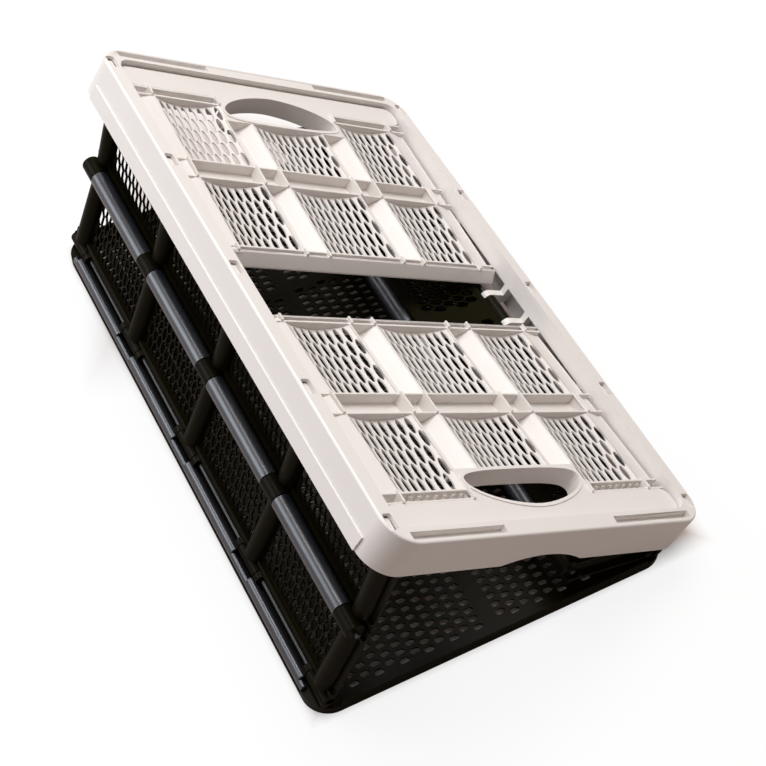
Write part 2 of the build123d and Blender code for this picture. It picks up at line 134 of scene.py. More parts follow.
class Wire:
    """A node's output socket that takes part in Python expressions."""

    def __init__(self, graph: "Graph", socket: bpy.types.NodeSocket) -> None:
        """Keep the socket and the graph that it belongs to."""
        self.graph = graph
        self.socket = socket

    def maths(self, operation: str, *others: Any) -> "Wire":
        """Add a Math node on this value.

        Args:
            operation: The Math node's operation.
            others: Further values or wires, in socket order.

        Returns:
            The result as a wire.
        """
        sockets = dict(enumerate((self, *others)))
        return self.graph.add("ShaderNodeMath", {"operation": operation}, sockets)

    def clamped(self) -> "Wire":
        """This value kept between 0 and 1."""
        return self.maths("MINIMUM", 1.0).maths("MAXIMUM", 0.0)

    def __add__(self, other: Any) -> "Wire":
        """Sum of two values."""
        return self.maths("ADD", other)

    def __sub__(self, other: Any) -> "Wire":
        """Difference of two values."""
        return self.maths("SUBTRACT", other)

    def __rsub__(self, other: Any) -> "Wire":
        """Difference with this value on the right."""
        return self.maths("MULTIPLY", -1.0).maths("ADD", other)

    def __mul__(self, other: Any) -> "Wire":
        """Product of two values."""
        return self.maths("MULTIPLY", other)

    def __truediv__(self, other: Any) -> "Wire":
        """Quotient of two values."""
        return self.maths("DIVIDE", other)

    def __rtruediv__(self, other: Any) -> "Wire":
        """Quotient with this value below."""
        return self.maths("POWER", -1.0).maths("MULTIPLY", other)

    __radd__ = __add__
    __rmul__ = __mul__


class Graph:
    """Adds nodes to a shader or geometry tree."""

    MIXED_COLOURS = (6, 7)
    MIX_RESULT = 2

    def __init__(self, tree: bpy.types.NodeTree) -> None:
        """Keep the tree that nodes are added to."""
        self.tree = tree

    def node(
        self,
        kind: str,
        settings: Optional[dict[str, Any]] = None,
        sockets: Optional[dict[Any, Any]] = None,
    ) -> bpy.types.Node:
        """Add a node of any type.

        Args:
            kind: The node's type.
            settings: Properties of the node, set first.
            sockets: Values or wires by the input's name or index, in a list where several join.

        Returns:
            The new node.
        """
        made = self.tree.nodes.new(kind)
        for name, value in (settings or {}).items():
            setattr(made, name, value)
        for key, value in (sockets or {}).items():
            wires = [value] if isinstance(value, Wire) else value
            if isinstance(wires, list):
                for wire in wires:
                    self.tree.links.new(wire.socket, made.inputs[key])
            else:
                made.inputs[key].default_value = value
        return made

    def add(
        self,
        kind: str,
        settings: Optional[dict[str, Any]] = None,
        sockets: Optional[dict[Any, Any]] = None,
        output: Any = 0,
    ) -> Wire:
        """Add a node and return one of its outputs.

        Args:
            kind: The node's type.
            settings: Properties of the node.
            sockets: Values or wires by input.
            output: Name or index of the output that is wanted.

        Returns:
            That output as a wire.
        """
        return Wire(self, self.node(kind, settings, sockets).outputs[output])

    def x_and_y(self, place: Wire) -> tuple[Wire, Wire]:
        """Take a place apart.

        Args:
            place: The place as a wire.

        Returns:
            Its X and Y as wires.
        """
        parts = self.node("ShaderNodeSeparateXYZ", {}, {0: place})
        return Wire(self, parts.outputs["X"]), Wire(self, parts.outputs["Y"])

    def blend(self, factor: Wire, *colours: Any) -> Wire:
        """Mix two colours.

        Args:
            factor: Share of the second colour.
            colours: The two colours, each as numbers or as a wire.

        Returns:
            The mixed colour as a wire.
        """
        sockets = {"Factor": factor}
        for place, colour in zip(self.MIXED_COLOURS, colours):
            sockets[place] = colour if isinstance(colour, Wire) else (*colour, 1.0)
        return self.add("ShaderNodeMix", {"data_type": "RGBA"}, sockets, self.MIX_RESULT)


@dataclass(frozen=True)
class MouldedPlastic:
    """A moulded plastic: two close tones, satin gloss, fine grain, faint scuffs, and glossier faces
    whose colour carries a painted bluish sheen.
    """

    name: str
    tone: Triple
    second_tone: Triple
    scuff_tone: Triple
    roughness: float
    roughness_change: float
    scuff_share: float
    mottle_per_metre: float = 9.0
    grain_per_metre: float = 1100.0
    scuff_per_metre: float = 70.0
    scuff_stretch: Triple = (1.0, 0.25, 1.0)
    scuff_start: float = 0.62
    scuff_slope: float = 6.0
    scuff_roughness: float = 0.2
    grain_height: float = 0.00006
    grain_strength: float = 0.25
    specular: float = 0.5
    rub_gloss: float = 0.0
    rub_roughness: float = 0.36
    rub_index: float = 1.8
    # Painted sheen: bluish colour blended in where the sheen mask is set, standing in for a lamp's
    # reflection.
    painted_sheen_tone: Triple = (0.012, 0.015, 0.024)

    # Attribute that marks faces for a glossy coat and for the painted bluish sheen colour.
    RUBBED = "rubbed"
    MOTTLE_DETAIL = 4.0
    GRAIN_DETAIL = 2.0
    SCUFF_DETAIL = 6.0

    def build(self) -> bpy.types.Material:
        """Make the material.

        Returns:
            A material on Object coordinates.
        """
        material = bpy.data.materials.new(self.name)
        material.use_nodes = True
        graph = Graph(material.node_tree)
        links = material.node_tree.links
        shader = material.node_tree.nodes["Principled BSDF"]
        shader.inputs["Specular IOR Level"].default_value = self.specular
        place = graph.add("ShaderNodeTexCoord", output="Object")
        mottle = self._noise(graph, place, self.mottle_per_metre, self.MOTTLE_DETAIL)
        grain = self._noise(graph, place, self.grain_per_metre, self.GRAIN_DETAIL)
        stretch = {"Vector": place, "Scale": self.scuff_stretch}
        stretched = graph.add("ShaderNodeMapping", {}, stretch)
        scuff = self._noise(graph, stretched, self.scuff_per_metre, self.SCUFF_DETAIL)
        scuffed = ((scuff - self.scuff_start) * self.scuff_slope).clamped() * self.scuff_share
        colour = graph.blend(mottle, self.tone, self.second_tone)
        colour = graph.blend(scuffed, colour, self.scuff_tone)
        roughness = mottle * self.roughness_change + self.roughness + scuffed * self.scuff_roughness
        bump = graph.add(
            "ShaderNodeBump",
            {},
            {"Strength": self.grain_strength, "Distance": self.grain_height, "Height": grain},
        )
        # Where the mask is set, a coat adds gloss and the colour is blended towards the painted
        # bluish sheen.
        if self.rub_gloss:
            shader.inputs["Coat Roughness"].default_value = self.rub_roughness
            shader.inputs["Coat IOR"].default_value = self.rub_index
            rubbed = graph.add("ShaderNodeAttribute", {"attribute_name": self.RUBBED}, output="Fac")
            colour = graph.blend(rubbed, colour, self.painted_sheen_tone)
            links.new((rubbed * self.rub_gloss).socket, shader.inputs["Coat Weight"])
        links.new(colour.socket, shader.inputs["Base Color"])
        links.new(roughness.socket, shader.inputs["Roughness"])
        links.new(bump.socket, shader.inputs["Normal"])
        return material

    @staticmethod
    def _noise(graph: Graph, place: Wire, per_metre: float, detail: float) -> Wire:
        """Noise of this scale over the piece, from 0 to 1."""
        sockets = {"Vector": place, "Scale": per_metre, "Detail": detail}
        return graph.add("ShaderNodeTexNoise", {}, sockets)


IVORY = MouldedPlastic(
    name="ivory_moulded",
    tone=(0.80, 0.765, 0.735),
    second_tone=(0.74, 0.70, 0.665),
    scuff_tone=(0.60, 0.555, 0.515),
    roughness=0.40,
    roughness_change=0.12,
    scuff_share=0.18,
)
BLACK = MouldedPlastic(
    name="black_moulded",
    tone=(0.0036, 0.0030, 0.0012),
    second_tone=(0.0100, 0.0083, 0.0020),
    scuff_tone=(0.010, 0.010, 0.009),
    roughness=0.30,
    roughness_change=0.10,
    scuff_share=0.30,
    grain_strength=0.10,
    specular=0.05,
    rub_gloss=1.0,
)
ROD_FINISH = MouldedPlastic(
    name="rod_extruded",
    tone=(0.006, 0.006, 0.007),
    second_tone=(0.009, 0.009, 0.009),
    scuff_tone=(0.03, 0.03, 0.03),
    roughness=0.30,
    roughness_change=0.10,
    scuff_share=0.20,
)


@dataclass(frozen=True)
class Placement:
    """A piece's own frame within the part."""

    origin: Vector
    across: Vector
    up: Vector
    out: Vector

    def matrix(self) -> Matrix:
        """Matrix from the piece's millimetres to the part's metres."""
        turned = Matrix((self.across, self.up, self.out)).transposed().to_4x4()
        return Matrix.Translation(self.origin) @ turned @ Matrix.Scale(MM, 4)


class BlockForm:
    """A rigid moulding made of boxes that are added and cut in order."""

    DIGITS = 4

    def __init__(self) -> None:
        """Start with nothing."""
        self.steps: list[tuple[bool, Span, Span, Span]] = []

    def add(self, x: Span, y: Span, z: Span) -> None:
        """Add a box between these limits."""
        self.steps.append((True, x, y, z))

    def cut(self, x: Span, y: Span, z: Span) -> None:
        """Cut a box between these limits."""
        self.steps.append((False, x, y, z))

    def mesh(self, name: str) -> bpy.types.Mesh:
        """Work out the outer skin of the boxes.

        Args:
            name: The mesh's name.

        Returns:
            A closed mesh whose flat faces are whole.
        """
        lines = [self._breaks(axis) for axis in (1, 2, 3)]
        filled = np.zeros([len(line) + 1 for line in lines], bool)
        for is_added, *limits in self.steps:
            reach = []
            for line, span in zip(lines, limits):
                first, last = np.searchsorted(line, np.round(span, self.DIGITS))
                reach.append(slice(first + 1, last + 1))
            filled[tuple(reach)] = is_added
        corners: dict[tuple[int, int, int], int] = {}
        faces = []
        for axis in range(3):
            for outward in (1, -1):
                shown = filled & ~np.roll(filled, -outward, axis)
                for cell in np.argwhere(shown):
                    faces.append(self._face(tuple(cell), axis, outward, corners))
        points = [tuple(lines[a][corner[a]] for a in range(3)) for corner in corners]
        made = bpy.data.meshes.new(name)
        made.from_pydata(points, [], faces)
        with edited(made) as shape:
            bmesh.ops.dissolve_limit(
                shape, angle_limit=FLAT_ANGLE, verts=shape.verts, edges=shape.edges
            )
        return made

    def _breaks(self, axis: int) -> np.ndarray:
        """Sorted limits of all boxes along an axis."""
        edges = [edge for step in self.steps for edge in step[axis]]
        return np.unique(np.round(edges, self.DIGITS))

    @staticmethod
    def _face(
        cell: tuple[int, int, int], axis: int, outward: int, corners: dict[tuple[int, int, int], int]
    ) -> list[int]:
        """Find the corners of a cell's face.

        Args:
            cell: The cell's place among all cells.
            axis: The axis that the face looks along.
            outward: 1 for the face at the cell's far end, -1 for the near one.
            corners: Numbers of the corners met so far, added to here.

        Returns:
            The corners' numbers, turned outwards.
        """
        others = [a for a in range(3) if a != axis]
        if axis == 1:
            others.reverse()
        found = []
        for step_a, step_b in ((0, 0), (1, 0), (1, 1), (0, 1)):
            corner = [index - 1 for index in cell]
            corner[axis] += 1 if outward > 0 else 0
            corner[others[0]] += step_a
            corner[others[1]] += step_b
            found.append(corners.setdefault(tuple(corner), len(corners)))
        return found if outward > 0 else found[::-1]


class Workshop:
    """Turns meshes into finished pieces."""

    SHARP_ANGLE = math.radians(38)
    BARREL_STEPS = 36
    BARREL_ROUND = 0.7
    CORNER_SEGMENTS = 8
    SAME_PLACE = 0.001

    @staticmethod
    def evaluated(
        mesh: bpy.types.Mesh, prepare: Callable[[bpy.types.Object], None]
    ) -> bpy.types.Mesh:
        """Run modifiers over a mesh.

        Args:
            mesh: The mesh to start from.
            prepare: Called with the temporary object, adds its modifiers.

        Returns:
            The mesh with the modifiers worked in.
        """
        holder = linked("holder", mesh)
        prepare(holder)
        depsgraph = bpy.context.evaluated_depsgraph_get()
        done = bpy.data.meshes.new_from_object(holder.evaluated_get(depsgraph))
        bpy.data.objects.remove(holder)
        return done

    @classmethod
    def softened(cls, mesh: bpy.types.Mesh, width: float, segments: int = 2) -> bpy.types.Mesh:
        """Round a mesh's sharp edges.

        Args:
            mesh: A closed mesh in millimetres or metres.
            width: Bevel width in the mesh's units.
            segments: Steps of the round.

        Returns:
            The rounded mesh.
        """

        def prepare(holder: bpy.types.Object) -> None:
            """Add the bevel.

            Args:
                holder: The temporary object.
            """
            bevel = holder.modifiers.new("round", "BEVEL")
            bevel.width = width
            bevel.segments = segments
            bevel.limit_method = "ANGLE"
            bevel.angle_limit = cls.SHARP_ANGLE
            bevel.use_clamp_overlap = True

        return cls.evaluated(mesh, prepare)

    @classmethod
    def piece(
        cls,
        name: str,
        parts: Sequence[PlacedMesh],
        material: bpy.types.Material,
        rubbed: Sequence[PlacedMesh] = (),
    ) -> bpy.types.Object:
        """Join placed meshes into one piece.

        Args:
            name: The piece's name.
            parts: Meshes with the matrix that places each.
            material: The piece's material.
            rubbed: More such meshes, whose faces get a glossy coat and a painted bluish sheen in
                their colour.

        Returns:
            An object at the origin with its place in its mesh.
        """
        shape = bmesh.new()
        gloss: list[float] = []
        for share, group in ((0.0, parts), (1.0, rubbed)):
            for mesh, matrix in group:
                placed = mesh.copy()
                placed.transform(matrix)
                shape.from_mesh(placed)
                bpy.data.meshes.remove(placed)
            gloss += [share] * (len(shape.verts) - len(gloss))
        for face in shape.faces:
            face.material_index = 0
        joined = bpy.data.meshes.new(name)
        shape.to_mesh(joined)
        shape.free()
        # Mark those faces for the glossy coat and the painted bluish sheen.
        if rubbed:
            layer = joined.attributes.new(MouldedPlastic.RUBBED, "FLOAT", "POINT")
            layer.data.foreach_set("value", gloss)
        joined.shade_smooth()
        joined.set_sharp_from_angle(angle=cls.SHARP_ANGLE)

        def prepare(holder: bpy.types.Object) -> None:
            """Let large faces lead the shading of the rounds beside them."""
            holder.modifiers.new("flat", "WEIGHTED_NORMAL").keep_sharp = True

        finished = cls.evaluated(joined, prepare)
        finished.name = name
        finished.materials.clear()
        finished.materials.append(material)
        LOG.info("%s: %d faces", name, len(finished.polygons))
        return linked(name, finished)

    @classmethod
    def prism(
        cls, outline: Sequence[Span], span: Span, lay: Lay, edge_round: float = 0.0
    ) -> bpy.types.Mesh:
        """Extrude a flat outline.

        Args:
            outline: Corners in order round the outline.
            span: The two ends of the extrusion.
            lay: How the outline and the extrusion lie.
            edge_round: Width of the rounds on its sharp edges.

        Returns:
            The closed mesh.
        """
        columns = ["XYZ".index(letter) for letter in lay.value]
        points = []
        for depth in span:
            for first, second in outline:
                point = [0.0, 0.0, 0.0]
                for axis, value in zip(columns, (first, second, depth)):
                    point[axis] = value
                points.append(point)
        count = len(outline)
        faces = [list(range(count)), list(range(count, 2 * count))]
        for index in range(count):
            after = (index + 1) % count
            faces.append([index, after, after + count, index + count])
        made = bpy.data.meshes.new("prism")
        made.from_pydata(points, [], faces)
        with edited(made) as shape:
            bmesh.ops.recalc_face_normals(shape, faces=shape.faces)
        return cls.softened(made, edge_round) if edge_round else made

    @classmethod
    def barrel(cls, radius: float, x: Span, centre: Span) -> bpy.types.Mesh:
        """Round barrel along X with softened rims.

        Args:
            radius: Radius in millimetres.
            x: Its two ends.
            centre: Its place in Y and Z.

        Returns:
            The closed mesh.
        """
        outline = cls.arc(centre, radius, radius, (0, 360), cls.BARREL_STEPS)
        return cls.prism(outline, x, Lay.ALONG_X, cls.BARREL_ROUND)

    @staticmethod
    def rectangle(x: Span, y: Span) -> list[Span]:
        """Corners of a rectangle between these limits."""
        return [(x[0], y[0]), (x[1], y[0]), (x[1], y[1]), (x[0], y[1])]

    @staticmethod
    def arc(centre: Span, wide: float, high: float, turn: Span, steps: int) -> list[Span]:
        """Points of an ellipse or of a stretch of one.

        Args:
            centre: Its middle.
            wide: Half its width.
            high: Half its height.
            turn: First and last angle in degrees; a whole turn leaves out the last point.
            steps: Number of straight steps.

        Returns:
            The points in order.
        """
        is_whole = abs(turn[1] - turn[0]) >= 360
        angles = np.radians(np.linspace(*turn, steps + 1))
        if is_whole:
            angles = angles[:-1]
        return [(centre[0] + wide * math.cos(a), centre[1] + high * math.sin(a)) for a in angles]

    @classmethod
    def carved(
        cls, mesh: bpy.types.Mesh, steps: Sequence[tuple[Carving, bpy.types.Mesh]]
    ) -> bpy.types.Mesh:
        """Work a mesh with other closed meshes.

        Args:
            mesh: The closed mesh to work on.
            steps: What is done, with the mesh that does it, in order.

        Returns:
            The closed result.
        """
        helpers = []

        def prepare(holder: bpy.types.Object) -> None:
            """Add the boolean steps.

            Args:
                holder: The temporary object.
            """
            for carving, tool in steps:
                helper = linked("tool", tool)
                helpers.append(helper)
                step = holder.modifiers.new(carving.name, "BOOLEAN")
                step.operation = carving.value
                step.solver = "EXACT"
                step.object = helper

        done = cls.evaluated(mesh, prepare)
        for helper in helpers:
            bpy.data.objects.remove(helper)
        return done

    @classmethod
    def rounded_corners(cls, mesh: bpy.types.Mesh, reach: float, radius: float) -> None:
        """Round the upright edges that lie this far out along X.

        Args:
            mesh: The mesh, changed in place.
            reach: Distance of those edges from the middle.
            radius: Radius of the round.
        """
        with edited(mesh) as shape:
            upright = []
            for edge in shape.edges:
                low, high = (corner.co for corner in edge.verts)
                is_upright = math.hypot(high.x - low.x, high.y - low.y) < cls.SAME_PLACE
                if is_upright and abs(abs(low.x) - reach) < cls.SAME_PLACE:
                    upright.append(edge)
            bmesh.ops.bevel(
                shape,
                geom=upright,
                offset=radius,
                segments=cls.CORNER_SEGMENTS,
                profile=0.5,
                affect="EDGES",
            )


@dataclass(frozen=True)
class Lattice:
    """Sizes of one window of staggered slots."""

    width: float
    height: float
    columns: int
    rows: int
    slot_width: float
    slot_length: float
    thickness: float
    sag: float
    corners: int = 12


class LatticeTree:
    """Geometry Nodes tree that makes a slotted, dished window."""

    INPUTS = (
        ("Width", "NodeSocketFloat"),
        ("Height", "NodeSocketFloat"),
        ("Columns", "NodeSocketInt"),
        ("Rows", "NodeSocketInt"),
        ("Slot Width", "NodeSocketFloat"),
        ("Slot Length", "NodeSocketFloat"),
        ("Thickness", "NodeSocketFloat"),
        ("Sag", "NodeSocketFloat"),
        ("Corners", "NodeSocketInt"),
        ("Material", "NodeSocketMaterial"),
    )
    # Parts of a pitch that are left over across the window and along it.
    COLUMN_ROOM = 0.5
    ROW_ROOM = 0.4
    EDGE_CUTS = 15
    MERGE = 0.001

    def __init__(self) -> None:
        """Build the tree once."""
        self.tree = bpy.data.node_groups.new("slotted_window", "GeometryNodeTree")
        for name, kind in self.INPUTS:
            self.tree.interface.new_socket(name, in_out="INPUT", socket_type=kind)
        self.tree.interface.new_socket("Geometry", in_out="OUTPUT", socket_type="NodeSocketGeometry")
        self.made: dict[Lattice, bpy.types.Mesh] = {}
        self._build()

    def _build(self) -> None:
        """Add the nodes."""
        graph = Graph(self.tree)
        given = graph.node("NodeGroupInput")
        width, height, columns, rows, slot_width, slot_length, thickness, sag, corners, material = (
            Wire(graph, given.outputs[name]) for name, _ in self.INPUTS
        )
        x, y = graph.x_and_y(graph.add("GeometryNodeInputPosition"))
        # A point for each slot, every other row moved half a pitch.
        pitch_x = width / (columns + self.COLUMN_ROOM)
        pitch_y = height / (rows + self.ROW_ROOM)
        points = graph.add(
            "GeometryNodeMeshGrid",
            {},
            {
                "Size X": pitch_x * (columns - 1),
                "Size Y": pitch_y * (rows - 1),
                "Vertices X": columns,
                "Vertices Y": rows,
            },
        )
        row = (y / pitch_y + rows * 0.5).maths("FLOOR")
        odd = row.maths("FLOORED_MODULO", 2.0)
        shift = graph.add("ShaderNodeCombineXYZ", {}, {"X": (odd - 0.5) * pitch_x * 0.5})
        staggered = graph.add("GeometryNodeSetPosition", {}, {"Geometry": points, "Offset": shift})
        # The slots and the window's border, filled to a sheet.
        ring = graph.add(
            "GeometryNodeCurvePrimitiveCircle",
            {"mode": "RADIUS"},
            {"Resolution": corners, "Radius": 0.5},
        )
        ring = graph.add("GeometryNodeTransform", {}, {0: ring, "Rotation": (0.0, 0.0, math.pi / 2)})
        size = graph.add("ShaderNodeCombineXYZ", {}, {"X": slot_width, "Y": slot_length, "Z": 1.0})
        slots = graph.add(
            "GeometryNodeInstanceOnPoints",
            {},
            {"Points": staggered, "Instance": ring, "Scale": size},
        )
        slots = graph.add("GeometryNodeRealizeInstances", {}, {0: slots})
        border = graph.add(
            "GeometryNodeCurvePrimitiveQuadrilateral", {}, {"Width": width, "Height": height}
        )
        border = graph.add(
            "GeometryNodeSubdivideCurve", {}, {"Curve": border, "Cuts": self.EDGE_CUTS}
        )
        outline = graph.add("GeometryNodeJoinGeometry", {}, {0: [slots, border]})
        sheet = graph.add("GeometryNodeFillCurve", {}, {0: outline})
        # The sheet's thickness, below its upper face.
        under = graph.add("GeometryNodeFlipFaces", {}, {0: sheet})
        down = graph.add("ShaderNodeCombineXYZ", {}, {"Z": thickness * -1.0})
        under = graph.add(
            "GeometryNodeExtrudeMesh",
            {"mode": "FACES"},
            {"Mesh": under, "Offset": down, "Offset Scale": 1.0, "Individual": False},
        )
        solid = graph.add("GeometryNodeJoinGeometry", {}, {0: [sheet, under]})
        solid = graph.add("GeometryNodeMergeByDistance", {}, {0: solid, "Distance": self.MERGE})
        # The dish, deepest along the window's middle.
        share = x / width * 2.0
        dip = graph.add("ShaderNodeCombineXYZ", {}, {"Z": (share * share - 1.0) * sag})
        dished = graph.add("GeometryNodeSetPosition", {}, {"Geometry": solid, "Offset": dip})
        whole = graph.add("GeometryNodeRealizeInstances", {}, {0: dished})
        painted = graph.add("GeometryNodeSetMaterial", {}, {"Geometry": whole, "Material": material})
        graph.node("NodeGroupOutput", {}, {"Geometry": painted})

    def mesh(self, lattice: Lattice, material: bpy.types.Material) -> bpy.types.Mesh:
        """Make a window, or give the one of that size again.

        Args:
            lattice: The window's sizes.
            material: Its material.

        Returns:
            A mesh centred on the window's upper face.
        """
        if lattice not in self.made:
            values = {
                "Width": lattice.width,
                "Height": lattice.height,
                "Columns": lattice.columns,
                "Rows": lattice.rows,
                "Slot Width": lattice.slot_width,
                "Slot Length": lattice.slot_length,
                "Thickness": lattice.thickness,
                "Sag": lattice.sag,
                "Corners": lattice.corners,
                "Material": material,
            }

            def prepare(holder: bpy.types.Object) -> None:
                """Add the tree with these sizes.

                Args:
                    holder: The temporary object.
                """
                modifier = holder.modifiers.new("slots", "NODES")
                modifier.node_group = self.tree
                for item in self.tree.interface.items_tree:
                    if item.in_out == "INPUT":
                        modifier[item.identifier] = values[item.name]

            empty = bpy.data.meshes.new("window")
            self.made[lattice] = Workshop.evaluated(empty, prepare)
        return self.made[lattice]


@dataclass
class Pivots:
    """Joint places and directions read from the frame."""

    joints: list[dict[str, Any]]

    def place(self, name: str) -> Vector:
        """A joint's place in metres."""
        return Vector(self._joint(name)["pos_m"])

    def axis(self, name: str) -> Vector:
        """A joint's axis."""
        return Vector(self._joint(name)["axis"]).normalized()

    def panel_middle(self) -> Vector:
        """The point midway between the two end panels' pivots."""
        return (self.place("front_panel_swing") + self.place("rear_panel_swing")) / 2

    def right_rim_pivot(self) -> Vector:
        """The right wall's pivot in the rim, as far from the rim's middle as the left one."""
        across = self.axis("rear_panel_swing")
        left = self.place("rim_tilt")
        return left + across * (2 * (self.panel_middle() - left).dot(across))

    def _joint(self, name: str) -> dict[str, Any]:
        """A joint by name."""
        return next(joint for joint in self.joints if joint["name"] == name)


@dataclass
class WallHalf:
    """One half of a long wall: half-round posts, rails, hinge barrels and slotted windows."""

    name: str
    body: str
    side: Side
    outer_pivot: Vector
    middle_pivot: Vector
    has_post_knuckles: bool
    length_along: float = 515.0
    pivot_offset: float = 9.0
    inner: float = 3.5
    outer: float = 8.0
    skin: float = 2.5
    knuckle_width: float = 28.0
    post_width: float = 18.0
    post_pitch: float = 121.0
    rail: float = 5.0
    rail_outer: float = 2.0
    hinge_rail: float = 2.0
    hinge_width: float = 20.0
    knuckle: float = 6.0
    barrel: float = 8.0
    fold_gap: float = 0.8
    side_gap: float = 0.4
    edge_round: float = 0.8
    slot_columns: int = 13
    slot_rows: int = 5
    slot_corners: int = 6
    slot_share: Span = (0.93, 1.115)
    window_lap: float = 1.0

    POST_STEPS = 20

    def reach(self) -> float:
        """Length of the half from its outer pivot to the foot of its middle pivot."""
        span = (self.middle_pivot - self.outer_pivot).length / MM
        return math.sqrt(span**2 - self.pivot_offset**2)

    def placement(self) -> Placement:
        """Work out the half's own frame.

        Returns:
            X along the wall, Y towards the middle pivot and Z outwards.
        """
        span = (self.middle_pivot - self.outer_pivot).normalized()
        swing = math.atan2(self.pivot_offset, self.reach())
        rises = self.has_post_knuckles
        sign = self.side.value * (-1 if rises else 1)
        up = Matrix.Rotation(sign * swing, 3, "Y") @ span
        along = Vector((0, self.side.value * (1 if rises else -1), 0))
        return Placement(self.outer_pivot, along, up, along.cross(up))

    def posts(self) -> list[float]:
        """Middles of the posts along the wall."""
        outer = (self.length_along - self.knuckle_width) / 2
        return [-outer, -self.post_pitch, 0.0, self.post_pitch, outer]

    def bays(self, post_width: float) -> list[Span]:
        """Measure the wall between its posts.

        Args:
            post_width: Width that each post takes up.

        Returns:
            The clear spans, in order.
        """
        posts = self.posts()
        half = post_width / 2
        return [(low + half, high - half) for low, high in zip(posts, posts[1:])]

    def build(self, tree: LatticeTree, material: bpy.types.Material) -> bpy.types.Object:
        """Build the half and set it on its body.

        Args:
            tree: The slotted window maker.
            material: The wall's material.

        Returns:
            The finished piece.
        """
        reach = self.reach()
        rail_end = reach - self.barrel - self.fold_gap
        start = self.knuckle + self.fold_gap / 2
        rows = (start + self.rail, rail_end - self.hinge_rail)
        matrix = self.placement().matrix()
        form = self._form(reach, start, rail_end, rows)
        parts = [(Workshop.softened(form.mesh(self.name), self.edge_round), matrix)]
        foot = self.skin - self.inner
        post_end = reach if self.has_post_knuckles else rail_end
        half_post = self.post_width / 2
        half_knuckle = self.knuckle_width / 2
        knuckles = []
        for post in self.posts():
            middle = (post, foot)
            outline = Workshop.arc(middle, half_post, self.outer - foot, (0, 180), self.POST_STEPS)
            column = Workshop.prism(outline, (start, post_end), Lay.ALONG_Y, self.edge_round)
            parts.append((column, matrix))
            ends = (post - half_knuckle, post + half_knuckle)
            knuckles.append((Workshop.barrel(self.knuckle, ends, (0.0, 0.0)), matrix))
        parts += knuckles
        centre = (reach, self.pivot_offset)
        barrels = [(Workshop.barrel(self.barrel, x, centre), matrix) for x in self._hinge_spans()]
        for low, high in self.bays(self.post_width):
            lattice = self._lattice(high - low, rows)
            spot = Matrix.Translation(((low + high) / 2, sum(rows) / 2, foot - self.side_gap))
            parts.append((tree.mesh(lattice, material), matrix @ spot))
        if self.has_post_knuckles:
            parts += barrels
            barrels = []
        # Barrels of the upper halves get a glossy coat and a painted bluish sheen in their colour.
        made = Workshop.piece(f"{self.name}_moulding", parts, material, barrels)
        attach(made, self.body)
        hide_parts(self.name)
        return made

    def _form(self, reach: float, start: float, rail_end: float, rows: Span) -> BlockForm:
        """Set out the wall's skin, rails and hinge feet.

        Args:
            reach: Length of the half up to its middle pivot.
            start: Where the skin starts, past the knuckles.
            rail_end: Where the hinge rail ends.
            rows: Limits of the windows.

        Returns:
            The wall's boxes.
        """
        half = self.length_along / 2
        whole = (-half, half)
        foot = self.skin - self.inner
        end = reach - self.side_gap
        form = BlockForm()
        form.add(whole, (start, end), (-self.inner, foot))
        form.add(whole, (start, rows[0]), (-self.inner, self.rail_outer))
        form.add(whole, (rows[1], rail_end), (-self.inner, self.rail_outer))
        for low, high in self.bays(self.post_width):
            form.cut((low, high), rows, (-self.inner, self.outer))
        reach_in = self.knuckle_width / 2
        for post in self.posts():
            across = (post - reach_in, post + reach_in)
            form.add(across, (0.0, start), (-self.inner, self.inner))
        for across in self._hinge_spans():
            form.add(across, (rail_end, end), (-self.inner, self.rail_outer))
        return form

    def _hinge_spans(self) -> list[Span]:
        """Share the middle hinge between the two halves.

        Returns:
            Ends of this half's barrels, at the posts or in the bays between them.
        """
        half = self.hinge_width / 2
        if self.has_post_knuckles:
            return [(post - half, post + half) for post in self.posts()]
        gap = self.side_gap
        return [(low + gap, high - gap) for low, high in self.bays(self.hinge_width)]

    def _lattice(self, width: float, rows: Span) -> Lattice:
        """Size a bay's slotted window.

        Args:
            width: Clear width of the bay.
            rows: Limits of the window.

        Returns:
            The window's sizes, with a lap over its frame.
        """
        height = rows[1] - rows[0] + self.window_lap
        return Lattice(
            width=width + self.window_lap,
            height=height,
            columns=self.slot_columns,
            rows=self.slot_rows,
            slot_width=width / self.slot_columns * self.slot_share[0],
            slot_length=height / self.slot_rows * self.slot_share[1],
            thickness=self.skin - 2 * self.side_gap,
            sag=0.0,
            corners=self.slot_corners,
        )


